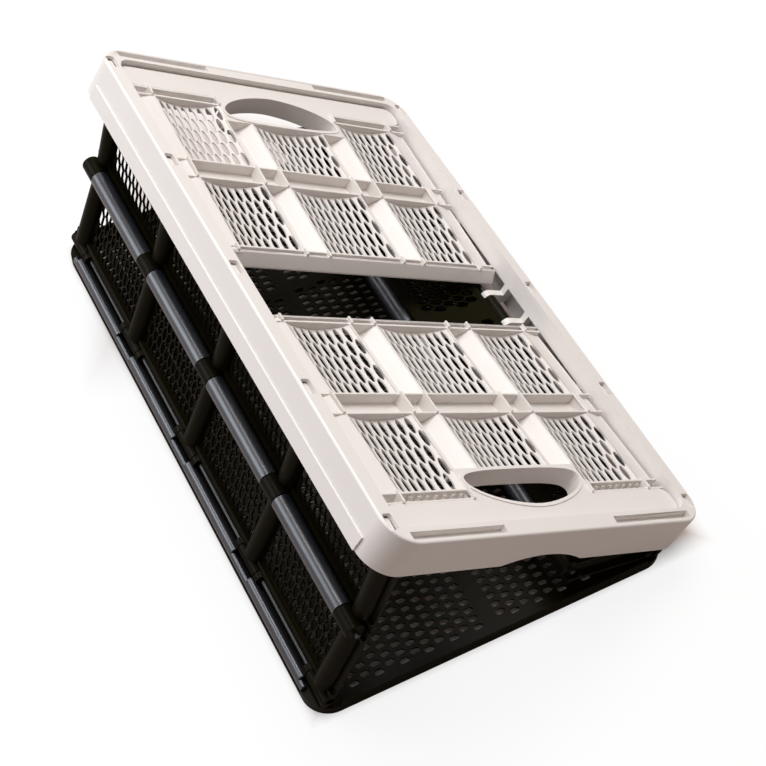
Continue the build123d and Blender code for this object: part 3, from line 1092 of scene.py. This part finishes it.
@dataclass
class EndPanel:
    """An end panel swung up into the rim: strip, hand hole, troughs and dished windows."""

    end: End
    pivot: Vector
    lift_axis: Vector
    rim_normal: Vector
    droop: float = 2.4
    width: float = 303.0
    reach: float = 209.0
    heel: float = 10.0
    top: float = 8.0
    depth: float = 11.5
    skin: float = 2.5
    mesh_skin: float = 1.3
    wall: float = 2.0
    trough: float = 52.25
    trough_width: float = 25.5
    trough_floor: float = 5.0
    side_edge: float = 131.0
    wing: float = 19.5
    wing_drop: float = 4.0
    lip_run: float = 6.0
    strip: float = 13.0
    strip_corner: float = 9.0
    strip_channel: float = 11.0
    mid_channel: float = 22.0
    free_channel: float = 13.0
    fin_rise: float = 2.4
    hand_half: float = 61.0
    hand_low: float = 5.0
    hand_high: float = 40.0
    hand_side: float = 10.0
    hand_collar: float = 3.0
    hand_rise: float = 0.8
    hand_skirt: float = 5.0
    comb_width: float = 3.4
    comb_depth: float = 1.8
    comb_rise: float = 9.0
    boss: float = 6.0
    boss_length: float = 12.5
    sag: float = 6.5
    edge_round: float = 0.5
    slot_pitch: float = 8.0
    slot_rows: int = 5
    slot_share: Span = (0.58, 1.10)
    window_lap: float = 1.0
    window_sink: float = 0.2

    # Row and column of the window that the hand hole cuts short.
    HAND_WINDOW = (0, 1)
    HAND_STEPS = 88
    BROW_POWER = 3.2
    BELLY_POWER = 1.7

    def placement(self) -> Placement:
        """Work out the panel's own frame.

        Returns:
            X across, Y towards the panel's free edge and Z up.
        """
        droop = math.radians(self.droop)
        along = Vector((0, -self.end.value, 0))
        up = along * math.cos(droop) - self.rim_normal * math.sin(droop)
        across = self.lift_axis * -1
        return Placement(self.pivot, across, up, across.cross(up))

    def build(self, tree: LatticeTree, material: bpy.types.Material) -> bpy.types.Object:
        """Build the panel and set it on its body.

        Args:
            tree: The slotted window maker.
            material: The panel's material.

        Returns:
            The finished piece.
        """
        name = f"{self.end.name.lower()}_end_panel"
        matrix = self.placement().matrix()
        plate = self._strip_form().mesh(name)
        Workshop.rounded_corners(plate, self.width / 2, self.strip_corner)
        deep = (self._floor() - self.hand_skirt, self.top + self.hand_rise)
        over = (deep[0] - self.wall, deep[1] + self.wall)
        collar = Workshop.prism(self._hand_outline(self.hand_collar), deep, Lay.UPRIGHT)
        hole = Workshop.prism(self._hand_outline(0.0), over, Lay.UPRIGHT)
        strip = Workshop.carved(plate, [(Carving.JOIN, collar), (Carving.CUT, hole)])
        parts = [(Workshop.softened(strip, self.edge_round), matrix)]
        for form in self._channel_forms():
            parts.append((Workshop.softened(form.mesh(name), self.edge_round), matrix))
        for mesh in (*self._troughs(), self._free_lip()):
            parts.append((mesh, matrix))
        for line, row in enumerate(self._rows()):
            for place, span in enumerate(self._columns()):
                is_by_hand = (line, place) == self.HAND_WINDOW
                limits = (self._hand_edge(), row[1]) if is_by_hand else row
                parts.append(self._window(span, limits, tree, material, matrix))
        for ends in self._boss_spans():
            parts.append((Workshop.barrel(self.boss, ends, (0.0, 0.0)), matrix))
        made = Workshop.piece(f"{name}_moulding", parts, material)
        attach(made, f"{self.end.name.lower()}_panel")
        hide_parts(name)
        return made

    def _floor(self) -> float:
        """Height of the panel's underside."""
        return self.top - self.depth

    def _hand_edge(self) -> float:
        """Far side of the hand hole's collar."""
        return self.hand_high + self.hand_collar

    def _side(self) -> float:
        """Distance of the wings' outer edges from the panel's middle."""
        return self.side_edge + self.wing

    def _trough(self) -> Span:
        """Limits of the trough on one side of the middle windows."""
        return self.trough - self.trough_width / 2, self.trough + self.trough_width / 2

    def _boss_spans(self) -> list[Span]:
        """Ends of the two pivot bosses across the panel."""
        half = self.width / 2
        return [(-half, self.boss_length - half), (half - self.boss_length, half)]

    def _rows(self) -> list[Span]:
        """Lay out the windows from the strip to the free edge.

        Returns:
            Limits of the two rows.
        """
        first = self.strip + self.strip_channel
        last = self.reach - self.free_channel
        middle = (first + last) / 2
        half = self.mid_channel / 2
        return [(first, middle - half), (middle + half, last)]

    def _columns(self) -> list[Span]:
        """Lay out the windows across the panel.

        Returns:
            Limits of the three columns.
        """
        inner, outer = self._trough()
        return [(-self.side_edge, -outer), (-inner, inner), (outer, self.side_edge)]

    def _channels(self) -> list[Span]:
        """Limits of the three channels across the panel."""
        first, last = self._rows()
        return [(self.strip, first[0]), (first[1], last[0]), (last[1], self.reach)]

    def _strip_form(self) -> BlockForm:
        """Set out the strip, the plate round the hand hole and the pivot bosses.

        Returns:
            Their boxes.
        """
        half = self.width / 2
        deep = (self._floor(), self.top)
        plate = (self.top - self.skin, self.top)
        _, beside = self._trough()
        form = BlockForm()
        form.add((-half, half), (-self.heel, self.strip), plate)
        form.add((-beside, beside), (self.strip, self._hand_edge()), plate)
        form.add((-beside, beside), (self._hand_edge() - self.wall, self._hand_edge()), deep)
        for ends in self._boss_spans():
            form.add(ends, (-self.boss, self.boss), (0.0, self.top))
        return form

    def _channel_forms(self) -> list[BlockForm]:
        """Set out the channels across the panel.

        Returns:
            Boxes of each channel, with combs in those beside the hand hole.
        """
        edge = self._side()
        _, beside = self._trough()
        strip_channel, middle_channel, free_channel = self._channels()
        behind_lip = (free_channel[0], free_channel[1] - self.lip_run)
        forms = [self._channel_form((-edge, edge), limits) for limits in (middle_channel, behind_lip)]
        for sides in ((-edge, -beside), (beside, edge)):
            form = self._channel_form(sides, strip_channel)
            self._add_combs(form, sides, strip_channel[1] - self.wall)
            forms.append(form)
        return forms

    def _channel_form(self, across: Span, limits: Span) -> BlockForm:
        """Set out one channel's cross walls, floor and fins.

        Args:
            across: The channel's two ends.
            limits: Its two sides.

        Returns:
            Its boxes.
        """
        floor = self._floor()
        deep = (floor, self.top)
        low, high = limits
        form = BlockForm()
        form.add(across, limits, (floor, floor + self.wall))
        form.add(across, (low, low + self.wall), deep)
        form.add(across, (high - self.wall, high), deep)
        for span in self._columns():
            for x in (span[0] - self.wall, span[1]):
                if across[0] <= x + self.wall and x <= across[1]:
                    form.add((x, x + self.wall), limits, (floor, self.top + self.fin_rise))
        return form

    def _add_combs(self, form: BlockForm, across: Span, face: float) -> None:
        """Add short ribs to a channel's wall, one under each slot of the window behind it.

        Args:
            form: The channel's boxes, added to here.
            across: The channel's two ends.
            face: Where the wall's face lies.
        """
        floor = self._floor()
        half = self.comb_width / 2
        for low, high in self._columns():
            if across[0] <= low and high <= across[1]:
                count = round((high - low) / self.slot_pitch)
                for middle in np.linspace(low, high, 2 * count + 1)[1::2]:
                    ends = (middle - half, middle + half)
                    form.add(ends, (face - self.comb_depth, face), (floor, floor + self.comb_rise))

    def _troughs(self) -> list[bpy.types.Mesh]:
        """Build the slopes between the windows and down to the panel's sides.

        Returns:
            One mesh for each trough and each side wing.
        """
        inner, outer = self._trough()
        edge = self._side()
        foot = self.trough_floor / 2
        floor = self._floor()
        bed = floor + self.wall
        middle = (
            (inner - self.wall, self.top),
            (inner, self.top),
            (self.trough - foot, bed),
            (self.trough + foot, bed),
            (outer, self.top),
            (outer + self.wall, self.top),
            (self.trough + foot + self.wall, floor),
            (self.trough - foot - self.wall, floor),
        )
        low = self.top - self.wing_drop
        wing = (
            (self.side_edge - self.wall, self.top),
            (self.side_edge, self.top),
            (edge - self.trough_floor, low),
            (edge, low),
            (edge, low - self.wall),
            (edge - self.trough_floor - self.wall, low - self.wall),
        )
        first, last = self._rows()
        lengths = [
            (middle, (self._hand_edge(), first[1])),
            (middle, last),
            (wing, (first[0], self.reach - self.lip_run)),
        ]
        made = []
        for outline, (near, far) in lengths:
            limits = (near - self.wall / 2, far + self.wall / 2)
            for sign in (-1, 1):
                placed = [(sign * x, z) for x, z in outline]
                made.append(Workshop.prism(placed, limits, Lay.ALONG_Y, self.edge_round))
        return made

    def _free_lip(self) -> bpy.types.Mesh:
        """Build the sloping lip along the panel's free edge.

        Returns:
            The lip's mesh.
        """
        edge = self._side()
        floor = self._floor()
        outline = (
            (self.reach - self.lip_run - self.wall, self.top),
            (self.reach - self.lip_run, self.top),
            (self.reach, floor + self.wall),
            (self.reach, floor),
            (self.reach - self.wall, floor),
        )
        return Workshop.prism(outline, (-edge, edge), Lay.ALONG_X, self.edge_round)

    def _hand_outline(self, grow: float) -> list[Span]:
        """Draw the D-shaped hand hole.

        Args:
            grow: How far the outline lies outside the hole.

        Returns:
            The outline's corners.
        """
        shoulder = self.hand_high - self.hand_side
        half = self.hand_half + grow
        outline = []
        for angle in np.linspace(0.0, 2 * math.pi, self.HAND_STEPS, endpoint=False):
            is_brow = angle < math.pi
            rise = self.hand_side + grow if is_brow else self.hand_low - shoulder - grow
            bend = 2 / (self.BROW_POWER if is_brow else self.BELLY_POWER)
            wide = math.copysign(abs(math.cos(angle)) ** bend, math.cos(angle))
            outline.append((half * wide, shoulder + rise * abs(math.sin(angle)) ** bend))
        return outline

    def _window(
        self,
        span: Span,
        row: Span,
        tree: LatticeTree,
        material: bpy.types.Material,
        matrix: Matrix,
    ) -> PlacedMesh:
        """Make and place a slotted window.

        Args:
            span: Limits of its column.
            row: Limits of its row.
            tree: The slotted window maker.
            material: The panel's material.
            matrix: The panel's placement.

        Returns:
            The window's mesh and its place.
        """
        width = span[1] - span[0] + self.window_lap
        height = row[1] - row[0] + self.window_lap
        columns = round(width / self.slot_pitch)
        low, high = self._rows()[1]
        rows = round(height * self.slot_rows / (high - low))
        lattice = Lattice(
            width=width,
            height=height,
            columns=columns,
            rows=rows,
            slot_width=width / columns * self.slot_share[0],
            slot_length=height / rows * self.slot_share[1],
            thickness=self.mesh_skin,
            sag=self.sag,
        )
        middle = (sum(span) / 2, sum(row) / 2, self.top - self.window_sink)
        return tree.mesh(lattice, material), matrix @ Matrix.Translation(middle)


@dataclass
class BaseTray:
    """The base: edge bars with a lip, ribs, a finely slotted floor and the wall pivots' ears."""

    pivots: Pivots
    width: float = 318.0
    length: float = 520.6
    corner: float = 22.0
    bar: float = 22.0
    end_bar: float = 10.0
    bar_top: float = 9.0
    lip: float = 2.0
    lip_top: float = 14.0
    floor_low: float = 3.0
    floor_top: float = 5.5
    rib: float = 8.0
    cells: tuple[int, int] = (2, 4)
    ear_width: float = 6.0
    ear_gap: float = 0.4
    ear_round: float = 6.0
    edge_round: float = 0.9
    rail_width: float = 6.0
    ledge_width: float = 10.0
    ledge_top: float = 17.0
    slot_grid: tuple[int, int] = (15, 12)
    slot_corners: int = 6
    slot_share: Span = (0.64, 0.84)
    cell_lap: float = 1.0
    cell_sink: float = 0.2

    ROUND_STEPS = 16
    CORNER_STEPS = 10

    def build(
        self, bays: Sequence[Span], tree: LatticeTree, material: bpy.types.Material
    ) -> bpy.types.Object:
        """Build the tray and set it on its body.

        Args:
            bays: Clear spans between the walls' knuckles along the basket.
            tree: The slotted window maker.
            material: The tray's material.

        Returns:
            The finished piece.
        """
        matrix = Matrix.Scale(MM, 4)
        blocks = self._form().mesh("base_tray")
        rounded = Workshop.carved(blocks, [(Carving.KEEP, self._corner_mask())])
        parts = [(Workshop.softened(rounded, self.edge_round), matrix)]
        ledges = []
        for side in Side:
            pivot = self.pivots.place(f"{side.name.lower()}_lower_fold") / MM
            for place in self._ear_places(bays):
                parts.append((self._ear(pivot, place), matrix))
            for outline, span in self._rails(side, bays):
                rail = Workshop.prism(outline, span, Lay.ALONG_Y, self.edge_round)
                ledges.append((rail, matrix))
        lattice, middles = self._cells()
        turned = Matrix.Rotation(math.pi / 2, 4, "Z")
        for x, y in middles:
            spot = Matrix.Translation((x, y, self.floor_top - self.cell_sink))
            parts.append((tree.mesh(lattice, material), matrix @ spot @ turned))
        # The edge rails and ledges get a glossy coat and a painted bluish sheen in their colour.
        made = Workshop.piece("base_tray_moulding", parts, material, ledges)
        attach(made, "base")
        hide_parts("base_tray")
        return made

    def _form(self) -> BlockForm:
        """Set out the bars, the lip and the floor's ribs.

        Returns:
            The tray's boxes.
        """
        wide = self.width / 2
        long = self.length / 2
        inner = (self.bar - wide, wide - self.bar)
        between = (self.end_bar - long, long - self.end_bar)
        form = BlockForm()
        form.add((-wide, wide), (-long, long), (0.0, self.bar_top))
        for outer in ((-long, self.lip - long), (long - self.lip, long)):
            form.add(inner, outer, (self.bar_top, self.lip_top))
        form.cut(inner, between, (0.0, self.bar_top))
        rib = self.rib / 2
        form.add((-rib, rib), between, (0.0, self.floor_top))
        pitch = (between[1] - between[0]) / self.cells[1]
        for index in range(1, self.cells[1]):
            y = between[0] + index * pitch
            form.add(inner, (y - rib, y + rib), (0.0, self.floor_top))
        return form

    def _corner_mask(self) -> bpy.types.Mesh:
        """Build a block that has the tray's rounded corners and is taller than the tray.

        Returns:
            The block's mesh.
        """
        wide = self.width / 2 - self.corner
        long = self.length / 2 - self.corner
        outline = []
        for turn, middle in enumerate(((wide, long), (-wide, long), (-wide, -long), (wide, -long))):
            sweep = (90 * turn, 90 * (turn + 1))
            outline += Workshop.arc(middle, self.corner, self.corner, sweep, self.CORNER_STEPS)
        return Workshop.prism(outline, (-self.lip, self.lip_top + self.lip), Lay.UPRIGHT)

    def _ear_places(self, bays: Sequence[Span]) -> list[float]:
        """Middles of the pivot ears, one at each end of every bay."""
        inset = self.ear_gap + self.ear_width / 2
        return [place for low, high in bays for place in (low + inset, high - inset)]

    def _rails(self, side: Side, bays: Sequence[Span]) -> list[tuple[list[Span], Span]]:
        """Draw a long side's edge rail and the ledges in its bays.

        Args:
            side: The long side.
            bays: Clear spans between the wall's knuckles.

        Returns:
            Outline and span of each rail and ledge.
        """
        straight = self.length / 2 - self.corner - self.lip
        edge = side.value * self.width / 2
        found = []
        sizes = [(self.rail_width, self.lip_top, (-straight, straight))]
        sizes += [(self.ledge_width, self.ledge_top, (low, high)) for low, high in bays]
        for width, top, span in sizes:
            middle = (edge - side.value * width / 2, self.bar_top)
            rise = top - self.bar_top
            arc = Workshop.arc(middle, width / 2, rise, (0, 180), self.ROUND_STEPS)
            foot = [(middle[0] - width / 2, self.floor_low), (middle[0] + width / 2, self.floor_low)]
            found.append(([*arc, *foot], span))
        return found

    def _ear(self, pivot: Vector, place: float) -> bpy.types.Mesh:
        """Build one upright ear round a pivot.

        Args:
            pivot: The pivot's place in millimetres.
            place: The ear's middle along the basket.

        Returns:
            The ear's mesh.
        """
        half = self.ear_round
        outline = [
            (pivot.x - half, self.floor_low),
            (pivot.x + half, self.floor_low),
            *Workshop.arc((pivot.x, pivot.z), half, half, (0, 180), self.ROUND_STEPS),
        ]
        span = (place - self.ear_width / 2, place + self.ear_width / 2)
        return Workshop.prism(outline, span, Lay.ALONG_Y, self.edge_round / 2)

    def _cells(self) -> tuple[Lattice, list[Span]]:
        """Lay out the floor's slotted cells.

        Returns:
            Sizes of a cell and the middles of all cells.
        """
        room = (self.width - 2 * self.bar, self.length - 2 * self.end_bar)
        pitch = [whole / count for whole, count in zip(room, self.cells)]
        height, width = (step - self.rib / 2 + self.cell_lap for step in pitch)
        lattice = Lattice(
            width=width,
            height=height,
            columns=self.slot_grid[0],
            rows=self.slot_grid[1],
            slot_width=width / self.slot_grid[0] * self.slot_share[0],
            slot_length=height / self.slot_grid[1] * self.slot_share[1],
            thickness=self.floor_top - self.floor_low - 2 * self.cell_sink,
            sag=0.0,
            corners=self.slot_corners,
        )
        shift = self.rib / 4
        first = (pitch[1] - room[1]) / 2
        ys = [first + index * pitch[1] for index in range(self.cells[1])]
        ys[0] -= shift
        ys[-1] += shift
        x = pitch[0] / 2 + shift
        return lattice, [(sign * x, y) for sign in (-1, 1) for y in ys]


@dataclass
class RimFrame:
    """The rim: its solid with moulded rounds, end slots and floors in its notches."""

    pivots: Pivots
    node: str = "rim_frame"
    body: str = "rim"
    merge: float = 0.01
    edge_round: float = 0.9
    width: float = 333.0
    length: float = 527.0
    long_bar: float = 13.0
    end_bar: float = 14.0
    panel_depth: float = 13.5
    slot_offset: float = 104.0
    slot_length: float = 90.0
    slot_width: float = 6.5
    slot_depth: float = 5.6
    slot_wall: float = 1.0
    notch_width: float = 7.6
    notch_length: float = 12.0
    notch_floor: Span = (-4.8, -3.6)

    def placement(self) -> Placement:
        """Work out the rim's own frame.

        Returns:
            X across, Y along and Z out of the rim's upper face.
        """
        across = self.pivots.axis("rear_panel_swing")
        along = Vector((0, 1, 0))
        normal = across.cross(along)
        origin = self.pivots.panel_middle() + normal * self.panel_depth * MM
        return Placement(origin, across, along, normal)

    def build(self, posts: Sequence[float], material: bpy.types.Material) -> bpy.types.Object:
        """Dress the rim's solid.

        Args:
            posts: Places of the walls' posts along the basket.
            material: The rim's material.

        Returns:
            The finished piece.
        """
        matrix = self.placement().matrix()
        steps = self._slots()
        for _, mesh in steps:
            mesh.transform(matrix)
        carved = Workshop.carved(Workshop.softened(self._copy(), self.edge_round * MM), steps)
        parts = [(carved, Matrix.Identity(4))]
        for side in Side:
            for post in posts:
                parts.append((self._notch_floor(side, post), matrix))
        made = Workshop.piece(f"{self.node}_moulding", parts, material)
        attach(made, self.body)
        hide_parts(self.node)
        return made

    def _copy(self) -> bpy.types.Mesh:
        """Copy the solid's mesh and join its faces.

        Returns:
            The copy.
        """
        shape = bmesh.new()
        shape.from_mesh(frame["nodes"][self.node].data)
        bmesh.ops.remove_doubles(shape, verts=shape.verts, dist=self.merge * MM)
        bmesh.ops.dissolve_limit(
            shape, angle_limit=FLAT_ANGLE, verts=shape.verts, edges=shape.edges
        )
        copied = bpy.data.meshes.new(self.node)
        shape.to_mesh(copied)
        shape.free()
        return copied

    def _slots(self) -> list[tuple[Carving, bpy.types.Mesh]]:
        """Put pockets under the slots of the end bars and open them.

        Returns:
            The steps of the carving.
        """
        wall = self.slot_wall
        depth = self.slot_depth
        kinds = ((Carving.JOIN, wall, (-depth - wall, -wall)), (Carving.CUT, 0.0, (-depth, depth)))
        steps = []
        for end in End:
            middle = (self.length - self.end_bar) / 2 * end.value
            for offset in (-self.slot_offset, self.slot_offset):
                for carving, grow, span in kinds:
                    reach = self.slot_length / 2 + grow
                    half = self.slot_width / 2 + grow
                    x = (offset - reach, offset + reach)
                    y = (middle - half, middle + half)
                    block = Workshop.prism(Workshop.rectangle(x, y), span, Lay.UPRIGHT)
                    steps.append((carving, block))
        return steps

    def _notch_floor(self, side: Side, post: float) -> bpy.types.Mesh:
        """Build the plate that closes one notch of a long bar from below.

        Args:
            side: The bar's side.
            post: The notch's place along the basket.

        Returns:
            The plate's mesh.
        """
        middle = side.value * (self.width - self.long_bar) / 2
        x = (middle - self.notch_width / 2, middle + self.notch_width / 2)
        y = (post - self.notch_length / 2, post + self.notch_length / 2)
        return Workshop.prism(Workshop.rectangle(x, y), self.notch_floor, Lay.UPRIGHT)


@dataclass(frozen=True)
class Lamp:
    """A soft square lamp that looks at the basket, placed in metres."""

    name: str
    place: Triple
    size: float
    power: float
    tint: Triple = (1.0, 1.0, 1.0)

    AIM = (0.02, 0.0, 0.1)

    def hang(self) -> None:
        """Put the lamp in the scene."""
        data = bpy.data.lights.new(self.name, "AREA")
        data.color = self.tint
        data.size = self.size
        data.energy = self.power
        lamp = linked(self.name, data)
        lamp.location = self.place
        sight = Vector(self.AIM) - Vector(self.place)
        lamp.rotation_euler = sight.to_track_quat("-Z", "Y").to_euler()


@dataclass(frozen=True)
class FloorPatch:
    """A stretch of floor inside lines of a * x + b * y = c, given as (a, b, c), with a soft edge,
    used to paint shade on the floor.
    """

    lines: tuple[Triple, ...]
    fade: float

    def beyond(self, x: Wire, y: Wire) -> Wire:
        """Tell the patch from the floor round it.

        Args:
            x: Place along X.
            y: Place along Y.

        Returns:
            0 on the patch, rising to 1 past its soft edge.
        """
        first, *others = (x * along_x + y * along_y - limit for along_x, along_y, limit in self.lines)
        for other in others:
            first = first.maths("MAXIMUM", other)
        return (first / self.fade).clamped()


@dataclass
class Studio:
    """Pale floor, soft light and the camera at the photograph's angle, in metres."""

    camera_place: Triple = (-0.3781, -0.7076, 1.1034)
    camera_right: Triple = (0.88635, -0.46167, 0.03518)
    camera_forward: Triple = (0.29952, 0.51377, -0.80395)
    lens: float = 74.36
    sensor: float = 36.0
    floor_size: float = 12.0
    floor_drop: float = 0.0004
    floor_tone: Triple = (0.96, 0.96, 0.96)
    floor_roughness: float = 0.9
    floor_glow: float = 0.88
    # Floor colour for bounced light everywhere, and painted shade seen by the camera in the patches.
    bounce_and_painted_shade_tone: Triple = (0.52, 0.455, 0.42)
    # Patches of painted shade under the basket and behind it.
    under: FloorPatch = FloorPatch(
        lines=((-1.0, 0.0, 0.145), (1.0, 0.0, 0.185), (0.0, -1.0, 0.245), (0.0, 1.0, 0.25)),
        fade=0.02,
    )
    behind: FloorPatch = FloorPatch(
        lines=((-2.0, 1.0, 0.41), (0.825, 1.0, 0.35), (1.0, 0.0, 0.10), (0.0, -1.0, -0.20)),
        fade=0.12,
    )
    lamps: tuple[Lamp, ...] = (
        Lamp(name="key", place=(0.30, 0.75, 2.3), size=1.5, power=56.0),
        Lamp(
            name="side",
            place=(-2.0, 1.55, 1.45),
            size=1.6,
            power=42.0,
            tint=(0.84, 0.90, 0.98),
        ),
    )
    world_tone: Triple = (1.0, 0.86, 0.80)
    world_strength: float = 0.27

    WHITE = (1.0, 1.0, 1.0, 1.0)

    def build(self) -> None:
        """Set up the whole stage."""
        self._camera()
        self._floor()
        for lamp in self.lamps:
            lamp.hang()
        self._world()
        bpy.context.scene.view_settings.view_transform = "Standard"

    def _camera(self) -> None:
        """Place the camera as it stood for the photograph."""
        data = bpy.data.cameras.new("photo_camera")
        data.lens = self.lens
        data.sensor_width = self.sensor
        camera = linked("photo_camera", data)
        right = Vector(self.camera_right).normalized()
        forward = Vector(self.camera_forward).normalized()
        above = right.cross(forward).normalized()
        turned = Matrix((right, above, -forward)).transposed().to_4x4()
        camera.matrix_world = Matrix.Translation(self.camera_place) @ turned
        bpy.context.scene.camera = camera

    def _floor(self) -> None:
        """Lay a pale floor just under the basket."""
        reach = (-self.floor_size / 2, self.floor_size / 2)
        corners = [(x, y, -self.floor_drop) for x, y in Workshop.rectangle(reach, reach)]
        mesh = bpy.data.meshes.new("floor")
        mesh.from_pydata(corners, [], [range(len(corners))])
        mesh.materials.append(self._floor_material())
        linked("floor", mesh)

    def _floor_material(self) -> bpy.types.Material:
        """Make the floor's finish.

        Returns:
            A material that is near white to the camera, with shade painted in as a darker tone
            without glow under and behind the basket.
        """
        material = bpy.data.materials.new("pale_floor")
        material.use_nodes = True
        graph = Graph(material.node_tree)
        links = material.node_tree.links
        shader = material.node_tree.nodes["Principled BSDF"]
        shader.inputs["Roughness"].default_value = self.floor_roughness
        x, y = graph.x_and_y(graph.add("ShaderNodeTexCoord", output="Object"))
        share = graph.add("ShaderNodeLightPath", output="Is Camera Ray")
        # Painted shade: inside the patches the camera sees the darker tone and no glow.
        for patch in (self.under, self.behind):
            share = share * patch.beyond(x, y)
        tone = graph.blend(share, self.bounce_and_painted_shade_tone, self.floor_tone)
        links.new(tone.socket, shader.inputs["Base Color"])
        lit = Wire(graph, shader.outputs[0])
        glow = graph.add("ShaderNodeEmission", {}, {"Color": self.WHITE})
        mixed = graph.add("ShaderNodeMixShader", {}, {0: share * self.floor_glow, 1: lit, 2: glow})
        links.new(mixed.socket, material.node_tree.nodes["Material Output"].inputs["Surface"])
        return material

    def _world(self) -> None:
        """Surround the stage with soft light that the camera sees as white."""
        world = bpy.data.worlds.new("studio")
        world.use_nodes = True
        graph = Graph(world.node_tree)
        seen = graph.add("ShaderNodeLightPath", output="Is Camera Ray")
        white = graph.add("ShaderNodeBackground", {}, {"Color": self.WHITE})
        around = {"Color": (*self.world_tone, 1.0), "Strength": self.world_strength}
        soft = graph.add("ShaderNodeBackground", {}, around)
        mixed = graph.add("ShaderNodeMixShader", {}, {0: seen, 1: soft, 2: white})
        output = world.node_tree.nodes["World Output"]
        world.node_tree.links.new(mixed.socket, output.inputs["Surface"])
        bpy.context.scene.world = world


def wall_halves(pivots: Pivots) -> list[WallHalf]:
    """Set out the four halves of the two long walls.

    Args:
        pivots: The joints' places.

    Returns:
        The halves, lower before upper.
    """
    rim_pivots = {Side.LEFT: pivots.place("rim_tilt"), Side.RIGHT: pivots.right_rim_pivot()}
    halves = []
    for side, rim in rim_pivots.items():
        word = side.name.lower()
        base = pivots.place(f"{word}_lower_fold")
        for part, outer_pivot in (("lower", base), ("upper", rim)):
            half = WallHalf(
                name=f"{word}_{part}_wall",
                body=f"{word}_{part}",
                side=side,
                outer_pivot=outer_pivot,
                middle_pivot=pivots.place(f"{word}_middle_fold"),
                has_post_knuckles=part == "lower",
            )
            halves.append(half)
    return halves


def dress(node: bpy.types.Object, material: bpy.types.Material) -> None:
    """Give a carried-over solid its material.

    Args:
        node: The solid's object.
        material: The material that it gets.
    """
    node.data.materials.clear()
    node.data.materials.append(material)
    LOG.info("%s dressed", node.name)


def main() -> None:
    """Build every piece in order and dress it."""
    logging.basicConfig(level=logging.INFO, format="%(name)s %(message)s")
    ivory = IVORY.build()
    black = BLACK.build()
    rod = ROD_FINISH.build()
    tree = LatticeTree()
    pivots = Pivots(frame["joints"])
    halves = wall_halves(pivots)
    rim = RimFrame(pivots)
    for half in halves:
        half.build(tree, black)
    for end in End:
        joint = f"{end.name.lower()}_panel_swing"
        panel = EndPanel(end, pivots.place(joint), pivots.axis(joint), rim.placement().out)
        panel.build(tree, ivory)
    wall = halves[0]
    rim.build(wall.posts(), ivory)
    BaseTray(pivots).build(wall.bays(wall.knuckle_width), tree, black)
    for name, node in frame["nodes"].items():
        if name.endswith("_rod"):
            dress(node, rod)
        elif name.endswith("_pin"):
            dress(node, ivory)
    Studio().build()


if __name__ == "__main__":
    main()
